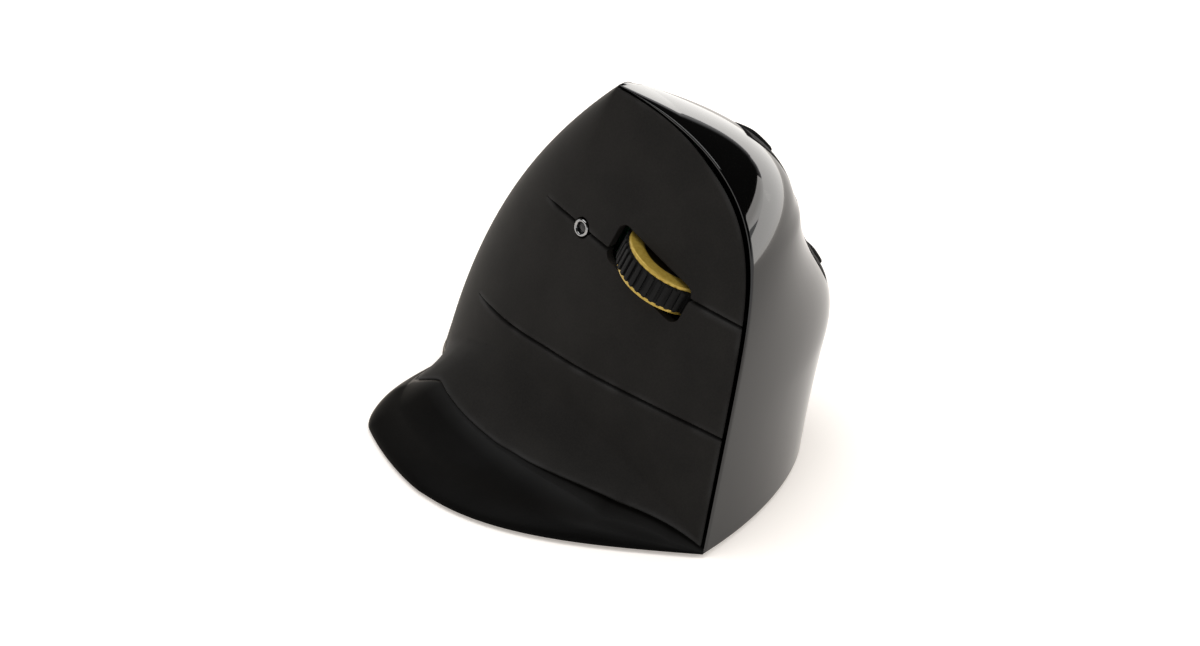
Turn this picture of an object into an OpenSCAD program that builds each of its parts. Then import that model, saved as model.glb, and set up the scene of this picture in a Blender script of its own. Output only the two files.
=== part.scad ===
// Vertical ergonomic mouse for the right hand, wireless. Millimetres.
// +X is the finger side, +Y is the nose, +Z is up; the origin is under the middle of the body.

/* [Overall] */
// Height of the ridge above the desk
body_height = 80; // [72:1:88]
// Width from the thumb ledge to the edge of the lip
body_width = 84; // [76:0.5:92]
// Length from the nose to the heel
body_length = 94; // [85:0.5:103]
// Height of the shell edge above the desk, which is the thickness of a glide foot
foot_h = 0.8; // [0.6:0.1:1.2]
// Wall of the moulded shells
wall = 2.0; // [1.6:0.1:2.4]
// Slit between neighbouring pieces of the shell
seam_gap = 0.4; // [0.3:0.05:0.6]
// Width of the groove along the crease
groove_w = 1.2; // [0.9:0.1:1.6]

/* [Finger side] */
// Lean of the finger side from the vertical, degrees
face_lean = 17.4; // [15:0.2:20]
// Swell of the finger side
face_bulge = 2.8; // [1.6:0.2:3.6]
// Height of the upper slit at the nose
slit_upper = 47.2; // [45:0.2:50]
// Rise of the upper slit for each unit of station
slit_rise = 3.6; // [2:0.2:5]
// Height of the lower slit at the nose
slit_lower = 24.2; // [22:0.2:27]
// Back-set of the finger hinge at the upper slit, as a station
hinge_upper = 1.12; // [1.06:0.01:1.18]
// Back-set of the finger hinge at the lower slit, as a station
hinge_lower = 1.22; // [1.16:0.01:1.25]

/* [Lip] */
// Reach of the lip beyond the finger side
lip_reach = 26.3; // [23:0.1:29]
// Height of the rolled edge of the lip
lip_edge = 2.4; // [2:0.1:2.8]
// Height at which the lip leaves the finger side
lip_root = 17.4; // [15:0.2:19]
// Height of the band that carries the lip round the heel
heel_band = 6.5; // [5:0.25:8]
// Wall of the lip rim inside the seam
lip_wall = 1.8; // [1.4:0.1:2.2]

/* [Thumb side] */
// Body thickness at the desk
thick_base = 51; // [48:0.5:54]
// Body thickness in the thumb groove
thick_groove = 28.4; // [27:0.2:31]
// Body thickness under the ridge
thick_hood = 27.3; // [26:0.1:29]
// Body thickness of the heel at the desk
thick_heel = 46; // [43:0.5:49]
// Lower edge of the thumb rest
rest_low = 36; // [34:0.1:38]
// Drop of the upper edge of the thumb rest below the ridge
rest_drop = 7; // [6:0.1:9]
// Front edge of the thumb rest, as a station
rest_front = 3.3; // [3.26:0.01:3.4]
// Height by which a thumb button stands proud of the rest
button_proud = 0.7; // [0.4:0.1:1.2]
// Thickness of a thumb button under the rest surface
button_wall = 1.6; // [1.2:0.1:2]
// Stroke of a thumb button
thumb_stroke = 0.6; // [0.4:0.1:0.8]

/* [Wheel] */
// Diameter of the scroll wheel over the tyre
wheel_d = 23; // [22:0.2:24]
// Width of the tyre
wheel_w = 6.6; // [5.6:0.1:7.6]
// Diameter of the hub under the tyre
hub_d = 18.4; // [16:0.2:19.4]
// Diameter of the axle
axle_d = 2.5; // [2:0.1:3.2]
// Height of the wheel above the finger side
wheel_proud = 4; // [3:0.1:5]
// Tilt of the wheel against the length of the body, degrees
wheel_tilt = 17; // [14:0.5:20]
// Distance of the wheel middle behind the nose
wheel_set = 29.2; // [28:0.1:31]
// Height of the wheel middle above the nose end of the upper slit
wheel_lift = 2.2; // [0.8:0.1:3.6]
// Number of ribs round the tyre
rib_count = 40; // [24:1:48]
// Clearance between the wheel and its slot
slot_gap = 0.7; // [0.5:0.05:1]
// Stroke of the wheel when it is pressed
wheel_stroke = 0.6; // [0.4:0.1:0.8]
// Wall of the carrier on each side of the wheel
carrier_wall = 1.6; // [1.2:0.1:2]

/* [Indicator] */
// Outside diameter of the indicator bezel
bezel_d = 3.8; // [3.4:0.1:4.6]
// Inside diameter of the indicator bezel
bezel_bore = 2.4; // [1.8:0.1:2.8]
// Depth of the bezel
bezel_depth = 3; // [2.4:0.1:4]

/* [Inside] */
// Thickness of the base plate
plate_t = 2; // [1.6:0.1:2.4]
// Thickness of a circuit board
board_t = 1.6; // [1:0.1:2]
// Length of a finger switch
switch_l = 12.8; // [12:0.1:13.6]
// Width of a finger switch
switch_w = 5.8; // [5:0.1:6.4]
// Height of a finger switch body
switch_h = 6.5; // [6:0.1:7]
// Side of a square press switch
press_side = 6; // [5.2:0.1:6.6]
// Height of a square press switch
press_h = 3.2; // [2.6:0.1:3.8]
// Diameter of the cell
cell_d = 14.4; // [13.6:0.1:15]
// Length of the cell over the button
cell_l = 50; // [46:0.1:50.5]
// Diameter of a glide foot
foot_d = 10; // [7:0.5:11]
// Travel of the power switch knob
power_travel = 2; // [1.4:0.1:2.6]
// Diameter of a case screw shank
screw_d = 2; // [1.6:0.1:2.4]
// Running clearance of a turning or sliding piece
run_gap = 0.15; // [0.1:0.01:0.2]

/* [Hidden] */

// Form of the skin: exponents and stations that shape the curves
crease_exp = 7.2;
crease_root = 2.15;
nose_lean = 0.05;
heel_exp = 1.8;
heel_root = 1.03;
hood_exp = 9;
hood_root = 1.2;
back_exp = 3.6;
back_root = 1.8;
turn_exp = 3;
turn_root = 1.2;
ledge_z = 34.2;
groove_low = 26.2;
groove_high = 58;
hood_blend = 4;
thick_back = 21.5;
back_blend = 75;
cheek_base = 29;
cheek_top = 15.4;
cheek_least = 0.15;
swell_end = 1.3;
swell_blend = 0.6;
lip_tip = 0.3;
lip_rise = 0.95;
tip_fall = 30;
tip_soft = 0.02;
tip_from = 1.15;
tip_to = 1.32;
tip_exp = 1.82;
heel_rim = 0.4;
lip_front = 2.2;
root_rise = 1.25;
root_from = 1.02;
root_to = 1.38;
bend_front = 0.52;
bend_heel = 0.82;
bend_from = 0.85;
bend_span = 0.35;
edge_share = 0.15;
edge_least = 0.05;
roll_share = 0.3;
seam_front = 1.3;
seam_rise = 3.5;
seam_span = 0.25;
seam_hump = 2.45;
hump_at = 1.1;
hump_span = 0.115;
seam_fall = 1.9;
fall_from = 1.16;
fall_span = 0.06;
slit_arch = 0.9;
slit_fall = 2.3;
hinge_foot = 1.0;
sink_exp = 6;
ledge_round = 2;
ridge_gap = 0.6;
ridge_fade = 7;
ridge_step = 0.3;
quarter = 90;
half_turn = 180;

// Places that follow from the sizes
lean_tan = tan(face_lean);
face_x = body_width / 2 - lip_reach + foot_h * lean_tan;
nose_y = body_length / 2;
heel_y = heel_rim - body_length / 2;
apex_y = -2.5;
turn_base = -8.7;
thick_ledge = body_width / 2 + face_x - ledge_z * lean_tan + ledge_round;
rest_high = body_height - rest_drop;
wheel_y = nose_y - wheel_set;
wheel_z = slit_upper + wheel_lift;
cap_t = wall / 2;
plate_top = foot_h + plate_t;
half_gap = seam_gap / 2;

// Plain helpers
function ramp(t) = min(1, max(0, t));
function ease(t) = let (c = ramp(t)) c * c * (3 - 2 * c);
function mix(a, b, t) = a + (b - a) * t;
function steps(a, b, n) = [for (i = [0:n]) mix(a, b, i / n)];
function dome(z, top, n, m) = pow(max(0, 1 - pow(ramp(z / top), n)), 1 / m);

// Extents of the level section at height z, with the wall inset w and the ridge at top
function side_x(z, w) = face_x - z * lean_tan - w;
function thick_at(z) =
    mix(thick_base, thick_ledge, sin(quarter * ramp(z / ledge_z)))
    + (thick_groove - thick_ledge) * ease((z - groove_low) / (groove_high - groove_low))
    + (thick_hood - thick_groove) * ease((z - groove_high) / hood_blend);
function thumb_x(z, w, top) =
    side_x(z, w) - (thick_at(z) - 2 * w) * dome(z, top, hood_exp, hood_root);
function back_x(z, w, top) =
    side_x(z, w)
    - (mix(thick_heel, thick_back, ease(z / back_blend)) - 2 * w) * dome(z, top, back_exp, back_root);
function crease_y(z, w, top) =
    apex_y + (nose_y - w - apex_y - nose_lean * z) * dome(z, top, crease_exp, crease_root);
function back_y(z, w, top) = apex_y + (heel_y + w - apex_y) * dome(z, top, heel_exp, heel_root);
function turn_y(z, top) = apex_y + (turn_base - apex_y) * dome(z, top, turn_exp, turn_root);
function cheek_y(z, w, top) =
    let (c = crease_y(z, w, top))
    max(c - mix(cheek_base, cheek_top, ease(z / body_height)) + w, mix(turn_y(z, top), c, cheek_least));

// Flare of the lip at station a: reach, root height, rolled edge and sweep
function tip_corner(a) = pow(1 - pow(ramp((a - tip_from) / (tip_to - tip_from)), tip_exp), 2);
function reach_at(a) =
    let (u = max(0, a - 1))
    a < 1 ? mix(lip_tip, lip_reach, sin(quarter * ramp(a / lip_rise)))
    : mix(heel_rim, lip_reach - tip_fall * u * u / (u + tip_soft), tip_corner(a));
function root_at(a) =
    a < 1 ? mix(lip_front, lip_root, sin(quarter * a / root_rise) / sin(quarter / root_rise))
    : mix(lip_root, heel_band, ease((a - root_from) / (root_to - root_from)));
function bend_at(a) = mix(bend_front, bend_heel, ease((a - bend_from) / bend_span));
function edge_at(a) = min(lip_edge, edge_share * reach_at(a) + edge_least);
function roll_at(a) = roll_share * reach_at(a);
function flat_at(a) = reach_at(a) - roll_at(a);
function rim_z(a) = foot_h + edge_at(a);
function rise_at(a) = max(root_at(a), rim_z(a) + lip_tip) - rim_z(a);
function flare(a, z) =
    let (t = ramp((z - rim_z(a)) / rise_at(a)), b = bend_at(a))
    flat_at(a) * pow(max(0, 1 - pow(t, b)), 1 / b);
function swell(a, z) =
    face_bulge * sin(half_turn * ramp(a / swell_end)) * ease((swell_end - a) / swell_blend)
    * sin(half_turn * ramp(z / body_height));

// Point of the finger side or the heel at station a, set off by d along the level normal
function side_point(a, z, w, top, d) =
    let (x = side_x(z, w), s = turn_y(z, top))
    a <= 1 ? [x + d, mix(crease_y(z, w, top), s, a), z]
    : let (
        r = (x - back_x(z, w, top)) / 2,
        b = s - back_y(z, w, top),
        t = half_turn * (a - 1),
        k = max(norm([b * cos(t), r * sin(t)]), lip_tip / 100)
    )
    [x - r + r * cos(t) + d * b * cos(t) / k, s - b * sin(t) - d * r * sin(t) / k, z];

// Point of the skin. Stations: 0 to 1 finger side, to 2 heel, to 3 thumb side, to 4 cheek and nose
function skin(a, z, w, top) =
    a <= 2 ? side_point(a, z, w, top, flare(a, z + w) + swell(a, z))
    : let (
        x = side_x(z, w),
        l = thumb_x(z, w, top),
        c = cheek_y(z, w, top),
        t = quarter * (a - 3)
    )
    a <= 3 ? [mix(back_x(z, w, top), l, ease(a - 2)), mix(turn_y(z, top), c, a - 2), z]
    : [x - (x - l) * cos(t), c + (crease_y(z, w, top) - c) * sin(t), z];
function outer(a, z) = skin(a, z, 0, body_height);
function sunk(z, w) = z - w * pow(z / body_height, sink_exp);
function inner(a, z, w) = skin(a, sunk(z, w), w, body_height - w);

// Edges of the pieces on the finger side
function upper_slit(a) = slit_upper + slit_rise * a;
function lower_slit(a) = slit_lower + slit_arch * a - slit_fall * a * a;
function lip_seam(a) =
    seam_front + seam_rise * (1 - exp(-a / seam_span))
    + seam_hump * exp(-pow((a - hump_at) / hump_span, 2))
    - seam_fall * ease((a - fall_from) / fall_span);
upper_end = upper_slit(hinge_upper);
lower_end = lower_slit(hinge_lower);
function hinge_at(z) =
    z > upper_end ? hinge_upper
    : z > lower_end ? mix(hinge_lower, hinge_upper, (z - lower_end) / (upper_end - lower_end))
    : mix(hinge_foot, hinge_lower, ramp((z - lip_seam(1)) / (lower_end - lip_seam(1))));
function groove_at(z) = mix(ridge_gap, groove_w, ease((body_height - z) / ridge_fade));
function crease_set(z, w, top) =
    let (c = crease_y(z, w, top), g = groove_at(z))
    (c - crease_y(z, w + g, top - g)) / (c - turn_y(z, top));

// Solid between two grids of points. A cell is left out where keep says so
module skin_solid(face, back, keep = undef) {
    nj = len(face);
    ni = len(face[0]);
    function f(j, i) = j * ni + i;
    function b(j, i) = (nj + j) * ni + i;
    function has(j, i) =
        j >= 0 && i >= 0 && j < nj - 1 && i < ni - 1 && (is_undef(keep) || keep[j][i]);
    function quad(p, q, r, s) = [[p, q, r], [p, r, s]];
    cells = [for (j = [0:nj - 2]) for (i = [0:ni - 2]) if (has(j, i)) [j, i]];
    faces = [
        for (c = cells)
            let (j = c[0], i = c[1])
            for (t = concat(
                quad(f(j, i), f(j, i + 1), f(j + 1, i + 1), f(j + 1, i)),
                quad(b(j, i), b(j + 1, i), b(j + 1, i + 1), b(j, i + 1)),
                has(j - 1, i) ? [] : quad(f(j, i + 1), f(j, i), b(j, i), b(j, i + 1)),
                has(j, i + 1) ? [] : quad(f(j + 1, i + 1), f(j, i + 1), b(j, i + 1), b(j + 1, i + 1)),
                has(j + 1, i) ? [] : quad(f(j + 1, i), f(j + 1, i + 1), b(j + 1, i + 1), b(j + 1, i)),
                has(j, i - 1) ? [] : quad(f(j, i), f(j + 1, i), b(j + 1, i), b(j, i))
            )) t
    ];
    polyhedron(concat([for (r = face) each r], [for (r = back) each r]), faces, convexity = 8);
}

// Flap of the finger side between two edges, from the groove at the crease to its hinge
function edge_z(k, a) =
    k == 0 ? lip_seam(a) + half_gap
    : k == 1 ? lower_slit(a) + half_gap
    : k == 2 ? lower_slit(a) - half_gap
    : k == 3 ? upper_slit(a) + half_gap
    : k == 4 ? upper_slit(a) - half_gap
    : flap_top;
function flap_a(u, z) = mix(crease_set(z, 0, body_height), hinge_at(z) - hinge_set(z), u);
function flap_edge(k, u, a, n) = n == 0 ? edge_z(k, a) : flap_edge(k, u, flap_a(u, edge_z(k, a)), n - 1);
function level(v, crowd) = crowd > 0 ? sin(quarter * v) : pow(v, 1 - crowd);
module flap(flap_set) {
    low = flap_set[0];
    high = flap_set[1];
    columns = flap_set[2];
    rows = flap_set[3];
    crowd = flap_set[4];
    lows = [for (u = steps(0, 1, columns)) flap_edge(low, u, u, edge_tries)];
    highs = [for (u = steps(0, 1, columns)) flap_edge(high, u, u, edge_tries)];
    function height(i, v) = mix(lows[i], highs[i], level(v, crowd));
    face = [
        for (v = steps(0, 1, rows))
            [for (i = [0:columns]) let (z = height(i, v)) outer(flap_a(i / columns, z), z)]
    ];
    back = [
        for (v = steps(0, 1, rows))
            [for (i = [0:columns])
                let (
                    z = height(i, v),
                    d = sunk(z, wall),
                    e = crease_set(d, wall, body_height - wall)
                )
                inner(mix(e, hinge_at(z) - hinge_set(z), i / columns), z, wall)]
    ];
    skin_solid(face, back);
}
edge_tries = 6;
// Each flap: its lower and upper edge, columns, rows and crowding of the rows
index_set = [3, 5, 16, 12, 1];
middle_set = [1, 4, 16, 8, 0];
ring_set = [0, 2, 24, 12, -0.7];
hinge_slit = 0.25;
function hinge_set(z) =
    let (
        r = (side_x(z, 0) - back_x(z, 0, body_height)) / 2,
        b = turn_y(z, body_height) - back_y(z, 0, body_height)
    )
    2 * hinge_slit / (PI * (r + b));
flap_top = body_height - ridge_gap - ridge_step / 6;

// Frame of the finger side: x runs out along its normal, y along the body, z up the slope
module on_face() {
    translate([face_x, 0, 0])
        rotate([0, -face_lean, 0])
            children();
}
function face_n(p) = (p[0] - face_x) * cos(face_lean) + p[2] * sin(face_lean);
function face_s(p) = (face_x - p[0]) * sin(face_lean) + p[2] * cos(face_lean);
function oblong(l, w, r, n) = [
    for (q = [0:3])
        for (t = steps(0, quarter, n))
            [(q == 0 || q == 3 ? 1 : -1) * (l / 2 - r) + r * cos(quarter * q + t),
             (q < 2 ? 1 : -1) * (w / 2 - r) + r * sin(quarter * q + t)]
];

// Middle of the wheel: its station on the skin, then its place in the face frame
wheel_a = (crease_y(wheel_z, 0, body_height) - wheel_y)
    / (crease_y(wheel_z, 0, body_height) - turn_y(wheel_z, body_height));
wheel_skin = outer(wheel_a, wheel_z);
wheel_n = face_n(wheel_skin) + wheel_proud - wheel_d / 2;
wheel_s = face_s(wheel_skin);
module at_wheel() {
    on_face()
        translate([wheel_n, wheel_y, wheel_s])
            rotate([-wheel_tilt, 0, 0])
                children();
}
slot_r = 2.2;
slot_reach = 30;
slot_turns = 6;
hub_over = 0.4;
hub_w = wheel_w + hub_over;
slot_w = hub_w + 2 * slot_gap;
slot_deep = wheel_d / 2 - wheel_proud - wall;
slot_l = 2 * (sqrt(pow(wheel_d / 2, 2) - pow(slot_deep, 2)) + slot_gap);
module wheel_slot() {
    at_wheel()
        rotate([90, 0, 90])
            linear_extrude(slot_reach, center = true)
                polygon(oblong(slot_l, slot_w, slot_r, slot_turns));
}

// Indicator on the upper slit
lamp_a = 0.9;
lamp_skin = outer(lamp_a, upper_slit(lamp_a));
lamp_n = face_n(lamp_skin);
lamp_s = face_s(lamp_skin);
module at_lamp() {
    on_face()
        translate([0, lamp_skin[1], lamp_s])
            rotate([0, 90, 0])
                children();
}
module lamp_hole() {
    at_lamp()
        cylinder(d = bezel_d + 2 * seam_gap, h = slot_reach, center = true, $fn = fine);
}

// Stack behind the finger side
switch_set = 2.1;
board_n = -wall - switch_h - switch_set;
stand_h = 1;
frame_t = 2;
frame_n = board_n - board_t - stand_h;
ring_share = 0.54;
middle_drop = 16;
index_lift = 8.6;
finger_set = 21.4;
finger_y = nose_y - finger_set;
finger_z = [
    ring_share * slit_lower,
    wheel_z - middle_drop,
    wheel_z + index_lift
];
board_low = 12;
board_over = 4.4;
board_back = -7;
board_set = 14;
board_front = nose_y - board_set;
function finger_a(z) =
    let (c = crease_y(z, 0, body_height)) (c - finger_y) / (c - turn_y(z, body_height));
function finger_tip(z) = inner(finger_a(z), z, wall);
function finger_s(z) = face_s(finger_tip(z));
board_high = finger_s(finger_z[2]) + board_over;

module index_button() {
    color([0.09, 0.09, 0.09])
        difference() {
            flap(index_set);
            wheel_slot();
            lamp_hole();
        }
}
module middle_button() {
    color([0.09, 0.09, 0.09])
        difference() {
            flap(middle_set);
            wheel_slot();
            lamp_hole();
        }
}
module ring_button() {
    color([0.09, 0.09, 0.09])
        flap(ring_set);
}

palm_columns = 34;
palm_end = 1.997;
palm_crowd = 1.6;
function palm_a(u, z) = mix(hinge_at(z) + hinge_set(z), palm_end, pow(u, palm_crowd));
function palm_low(u, a, n) =
    n == 0 ? lip_seam(a) + half_gap : palm_low(u, palm_a(u, lip_seam(a) + half_gap), n - 1);
// The rows of the palm shell meet those of the flaps at the hinges
hinge_rows = [
    for (f = [ring_set, middle_set, index_set])
        for (v = steps(0, 1, f[3]))
            mix(flap_edge(f[0], 1, 1, edge_tries), flap_edge(f[1], 1, 1, edge_tries), level(v, f[4]))
];
module palm_shell() {
    low = hinge_rows[0];
    lows = [for (u = steps(0, 1, palm_columns)) palm_low(u, 1 + u, edge_tries)];
    grid = [
        for (h = hinge_rows)
            [for (i = [0:palm_columns])
                let (z = mix(i == 0 ? low : lows[i], flap_top, (h - low) / (flap_top - low)))
                [palm_a(i / palm_columns, z), z]]
    ];
    color([0.09, 0.09, 0.09])
        skin_solid([for (r = grid) [for (p = r) outer(p[0], p[1])]],
                   [for (r = grid) [for (p = r) inner(p[0], p[1], wall)]]);
}

// Gloss cover: cheek, nose and ridge, left open for the thumb rest
cover_start = 2.008;
cover_last = body_height - ridge_step;
cap_share = 0.8;
cover_side = 12;
cover_nose = 11;
cover_low = 7;
cover_mid = 11;
cover_top = 7;
function after(a, b, n) = [for (i = [1:n]) mix(a, b, i / n)];
function crowded(a, b, n) = [for (i = [1:n]) mix(a, b, sin(quarter * i / n))];
function cover_in(a, z) = skin(a, sunk(z, cap_t), wall, body_height - cap_t);
function cap_over(a, w, top, z) =
    let (p = skin(a, top - ridge_step, w, top), q = side_point(4 - a, top - ridge_step, w, top, 0))
    [mix(p[0], q[0], cap_share), mix(p[1], q[1], cap_share), z];
module front_cover() {
    as = concat(steps(cover_start, rest_front, cover_side), crowded(rest_front, 4, cover_nose));
    zs = concat(steps(foot_h, rest_low, cover_low), after(rest_low, rest_high, cover_mid),
                crowded(rest_high, cover_last, cover_top));
    function open(j, i) = i < cover_side && j >= cover_low && j < cover_low + cover_mid;
    keep = [for (j = [0:len(zs) - 1]) [for (i = [0:len(as) - 2]) !open(j, i)]];
    face = concat([for (z = zs) [for (a = as) outer(a, z)]],
                  [[for (a = as) cap_over(a, 0, body_height, body_height)]]);
    back = concat([for (z = zs) [for (a = as) cover_in(a, z)]],
                  [[for (a = as) cap_over(a, wall, body_height - cap_t, body_height - cap_t)]]);
    color([0.22, 0.21, 0.21])
        skin_solid(face, back, keep);
}

// Dark strip behind the groove, carried by the cover and clear of the flaps when they are pressed
trim_in = 0.5;
trim_set = wall + trim_in;
trim_clear = 0.8;
trim_t = 1;
trim_w = 0.075;
trim_low = plate_top + seam_gap;
trim_rows = 28;
trim_top = body_height - trim_set;
module groove_trim() {
    zs = [for (v = steps(0, 1, trim_rows)) mix(trim_low, trim_top - seam_gap, sin(quarter * v))];
    function strip(d) = [
        for (z = zs)
            [for (a = [0, trim_w / 2, trim_w]) side_point(a, z, trim_set, trim_top, -d)]
    ];
    color([0.04, 0.04, 0.04])
        skin_solid(strip(trim_clear), strip(trim_clear + trim_t));
}

// Thumb rest with its two buttons. Each window is [station, station, height, height]
upper_drop = [6.2, 1];
lower_rise = [1.4, 7];
upper_window = [2.45, 3.1, rest_high - upper_drop[0], rest_high - upper_drop[1]];
lower_window = [2.72, 3.2, rest_low + lower_rise[0], rest_low + lower_rise[1]];
edge_set = 0.012;
button_set = 0.017;
button_back = 0.024;
rest_side = 4;
rest_rows = 7;
module thumb_rest() {
    u = upper_window;
    l = lower_window;
    as = concat(steps(cover_start, u[0], rest_side), [(u[0] + l[0]) / 2], steps(l[0], u[1], rest_side),
                [l[1], rest_front - edge_set]);
    zs = concat([rest_low + seam_gap], steps(l[2], l[3], 2), after(l[3], u[2], rest_rows),
                [(u[2] + u[3]) / 2, u[3], rest_high - seam_gap]);
    function inside(w, a, z) = a > w[0] && a < w[1] && z > w[2] && z < w[3];
    keep = [for (j = [0:len(zs) - 2]) [for (i = [0:len(as) - 2])
        let (a = (as[i] + as[i + 1]) / 2, z = (zs[j] + zs[j + 1]) / 2)
        !inside(u, a, z) && !inside(l, a, z)]];
    color([0.06, 0.06, 0.06])
        skin_solid([for (z = zs) [for (a = as) outer(a, z)]],
                   [for (z = zs) [for (a = as) cover_in(a, z)]], keep);
}
function button_floor(a, z) = skin(a, sunk(z, cap_t), button_wall, body_height - cap_t);
button_columns = 8;
button_rows = 4;
module thumb_button(w) {
    as = steps(w[0] + button_back, w[1] - button_set, button_columns);
    zs = steps(w[2] + seam_gap, w[3] - seam_gap - half_gap, button_rows);
    function lift(a, z) = skin(a, z, -button_proud, body_height + button_proud);
    color([0.05, 0.05, 0.05])
        skin_solid([for (z = zs) [for (a = as) lift(a, z)]],
                   [for (z = zs) [for (a = as) button_floor(a, z)]]);
}
module thumb_button_upper() {
    thumb_button(upper_window);
}
module thumb_button_lower() {
    thumb_button(lower_window);
}

// Lip: a solid rim swept round the foot of the finger side and the heel
lip_start = 0.008;
lip_bend = 1.14;
lip_turn = 1.34;
lip_front_steps = 18;
lip_bend_steps = 7;
lip_tip_steps = 16;
lip_heel_steps = 13;
lip_stations = concat(
    steps(lip_start, 1, lip_front_steps), after(1, lip_bend, lip_bend_steps),
    after(lip_bend, lip_turn, lip_tip_steps), after(lip_turn, palm_end, lip_heel_steps));
lip_rows = 7;
lip_crowd = 0.7;
roll_step = 22.5;
function lip_top(a) = lip_seam(a) - half_gap;
function lip_section(a) =
    let (
        top = lip_top(a),
        rim = flare(a, top),
        path = concat(
            [for (v = steps(0, 1, lip_rows))
                let (z = mix(top, rim_z(a), pow(v, lip_crowd))) [flare(a, z), z]],
            [for (t = [roll_step:roll_step:quarter])
                [flat_at(a) + roll_at(a) * sin(t), foot_h + edge_at(a) * cos(t)]])
    )
    concat([for (p = path) side_point(a, p[1], 0, body_height, p[0] + swell(a, p[1]))],
           [for (z = [foot_h, top - half_gap])
               let (q = side_point(a, foot_h, lip_wall, body_height, rim))
               [q[0], q[1], z]]);
module lip_skirt() {
    rings = [for (a = lip_stations) lip_section(a)];
    n = len(rings[0]);
    m = len(rings);
    function at(j, i) = j * n + (i % n);
    sides = [
        for (j = [0:m - 2])
            for (i = [0:n - 1])
                let (p = at(j, i), q = at(j + 1, i + 1))
                for (t = [[p, at(j, i + 1), q], [p, q, at(j + 1, i)]]) t
    ];
    fan = [for (i = [0:n - 1]) if (i != n - 2 && (i + 1) % n != n - 2) i];
    first = [for (i = fan) [at(0, n - 2), at(0, i + 1), at(0, i)]];
    last = [for (i = fan) [at(m - 1, n - 2), at(m - 1, i), at(m - 1, i + 1)]];
    color([0.07, 0.07, 0.07])
        polyhedron([for (r = rings) each r], concat(sides, first, last), convexity = 8);
}

// Places on the base plate
cell_in = 28.85;
cell_x = face_x - cell_in;
spring_l = 4;
cell_back = -cell_l / 2 - spring_l;
cell_gap = 0.4;
door_gap = 0.3;
door_t = 1.5;
cell_z = foot_h + door_t + cell_gap + cell_d / 2;
cradle_t = 1.6;
cradle_h = 8;
contact_t = 0.6;
bay_gap = 0.3;
bay_end = 1;
bay_half = cell_d / 2 + bay_gap;
bay_back = cell_back - bay_end;
bay_front = cell_back + cell_l + bay_end;
main_in = 35.35;
main_gap = 0.8;
main_x = face_x - main_in;
main_y = bay_front + cradle_t + main_gap;
main_l = 16;
main_w = 12;
post_h = 4.2;
main_z = plate_top + post_h;
post_d = 3.2;
post_inset = 1.7;
sensor_h = 2.4;
sensor_l = 9;
sensor_w = 8;
lens_l = 7.4;
lens_w = 6.4;
collar = 0.7;
collar_t = 1;
sensor_x = main_x + main_l / 2;
sensor_y = main_y + main_w / 2;
main_posts = [
    [main_x + post_inset, main_y + post_inset],
    [main_x + main_l - post_inset, main_y + main_w - post_inset]
];
power_in = 12.35;
power_x = face_x - power_in;
power_y = -23;
power_l = 9;
power_w = 4.6;
power_h = 3.6;
knob_l = 2.4;
knob_w = 1.8;
knob_start = -power_travel / 2;
flange_in = 19.15;
flange_x = face_x - flange_in;
flange_l = 10.8;
flange_t = 2;
boss_d = 5;
boss_h = 3.4;
head_d = 3.8;
head_t = 1.1;
screw_in = 11.95;
screw_set = 3;
case_spots = [
    [face_x - screw_in, board_back + screw_set],
    [face_x - screw_in, board_front - screw_set]
];
lip_foot = [14.65, 2];
thumb_foot = [-41.35, 6];
nose_foot = [-17.35, -10.8];
heel_foot = [-24.35, 8];
feet_spots = [
    [face_x + lip_foot[0], lip_foot[1]],
    [face_x + thumb_foot[0], thumb_foot[1]],
    [face_x + nose_foot[0], nose_y + nose_foot[1]],
    [face_x + heel_foot[0], heel_y + heel_foot[1]]
];
fine = 48;

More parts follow.
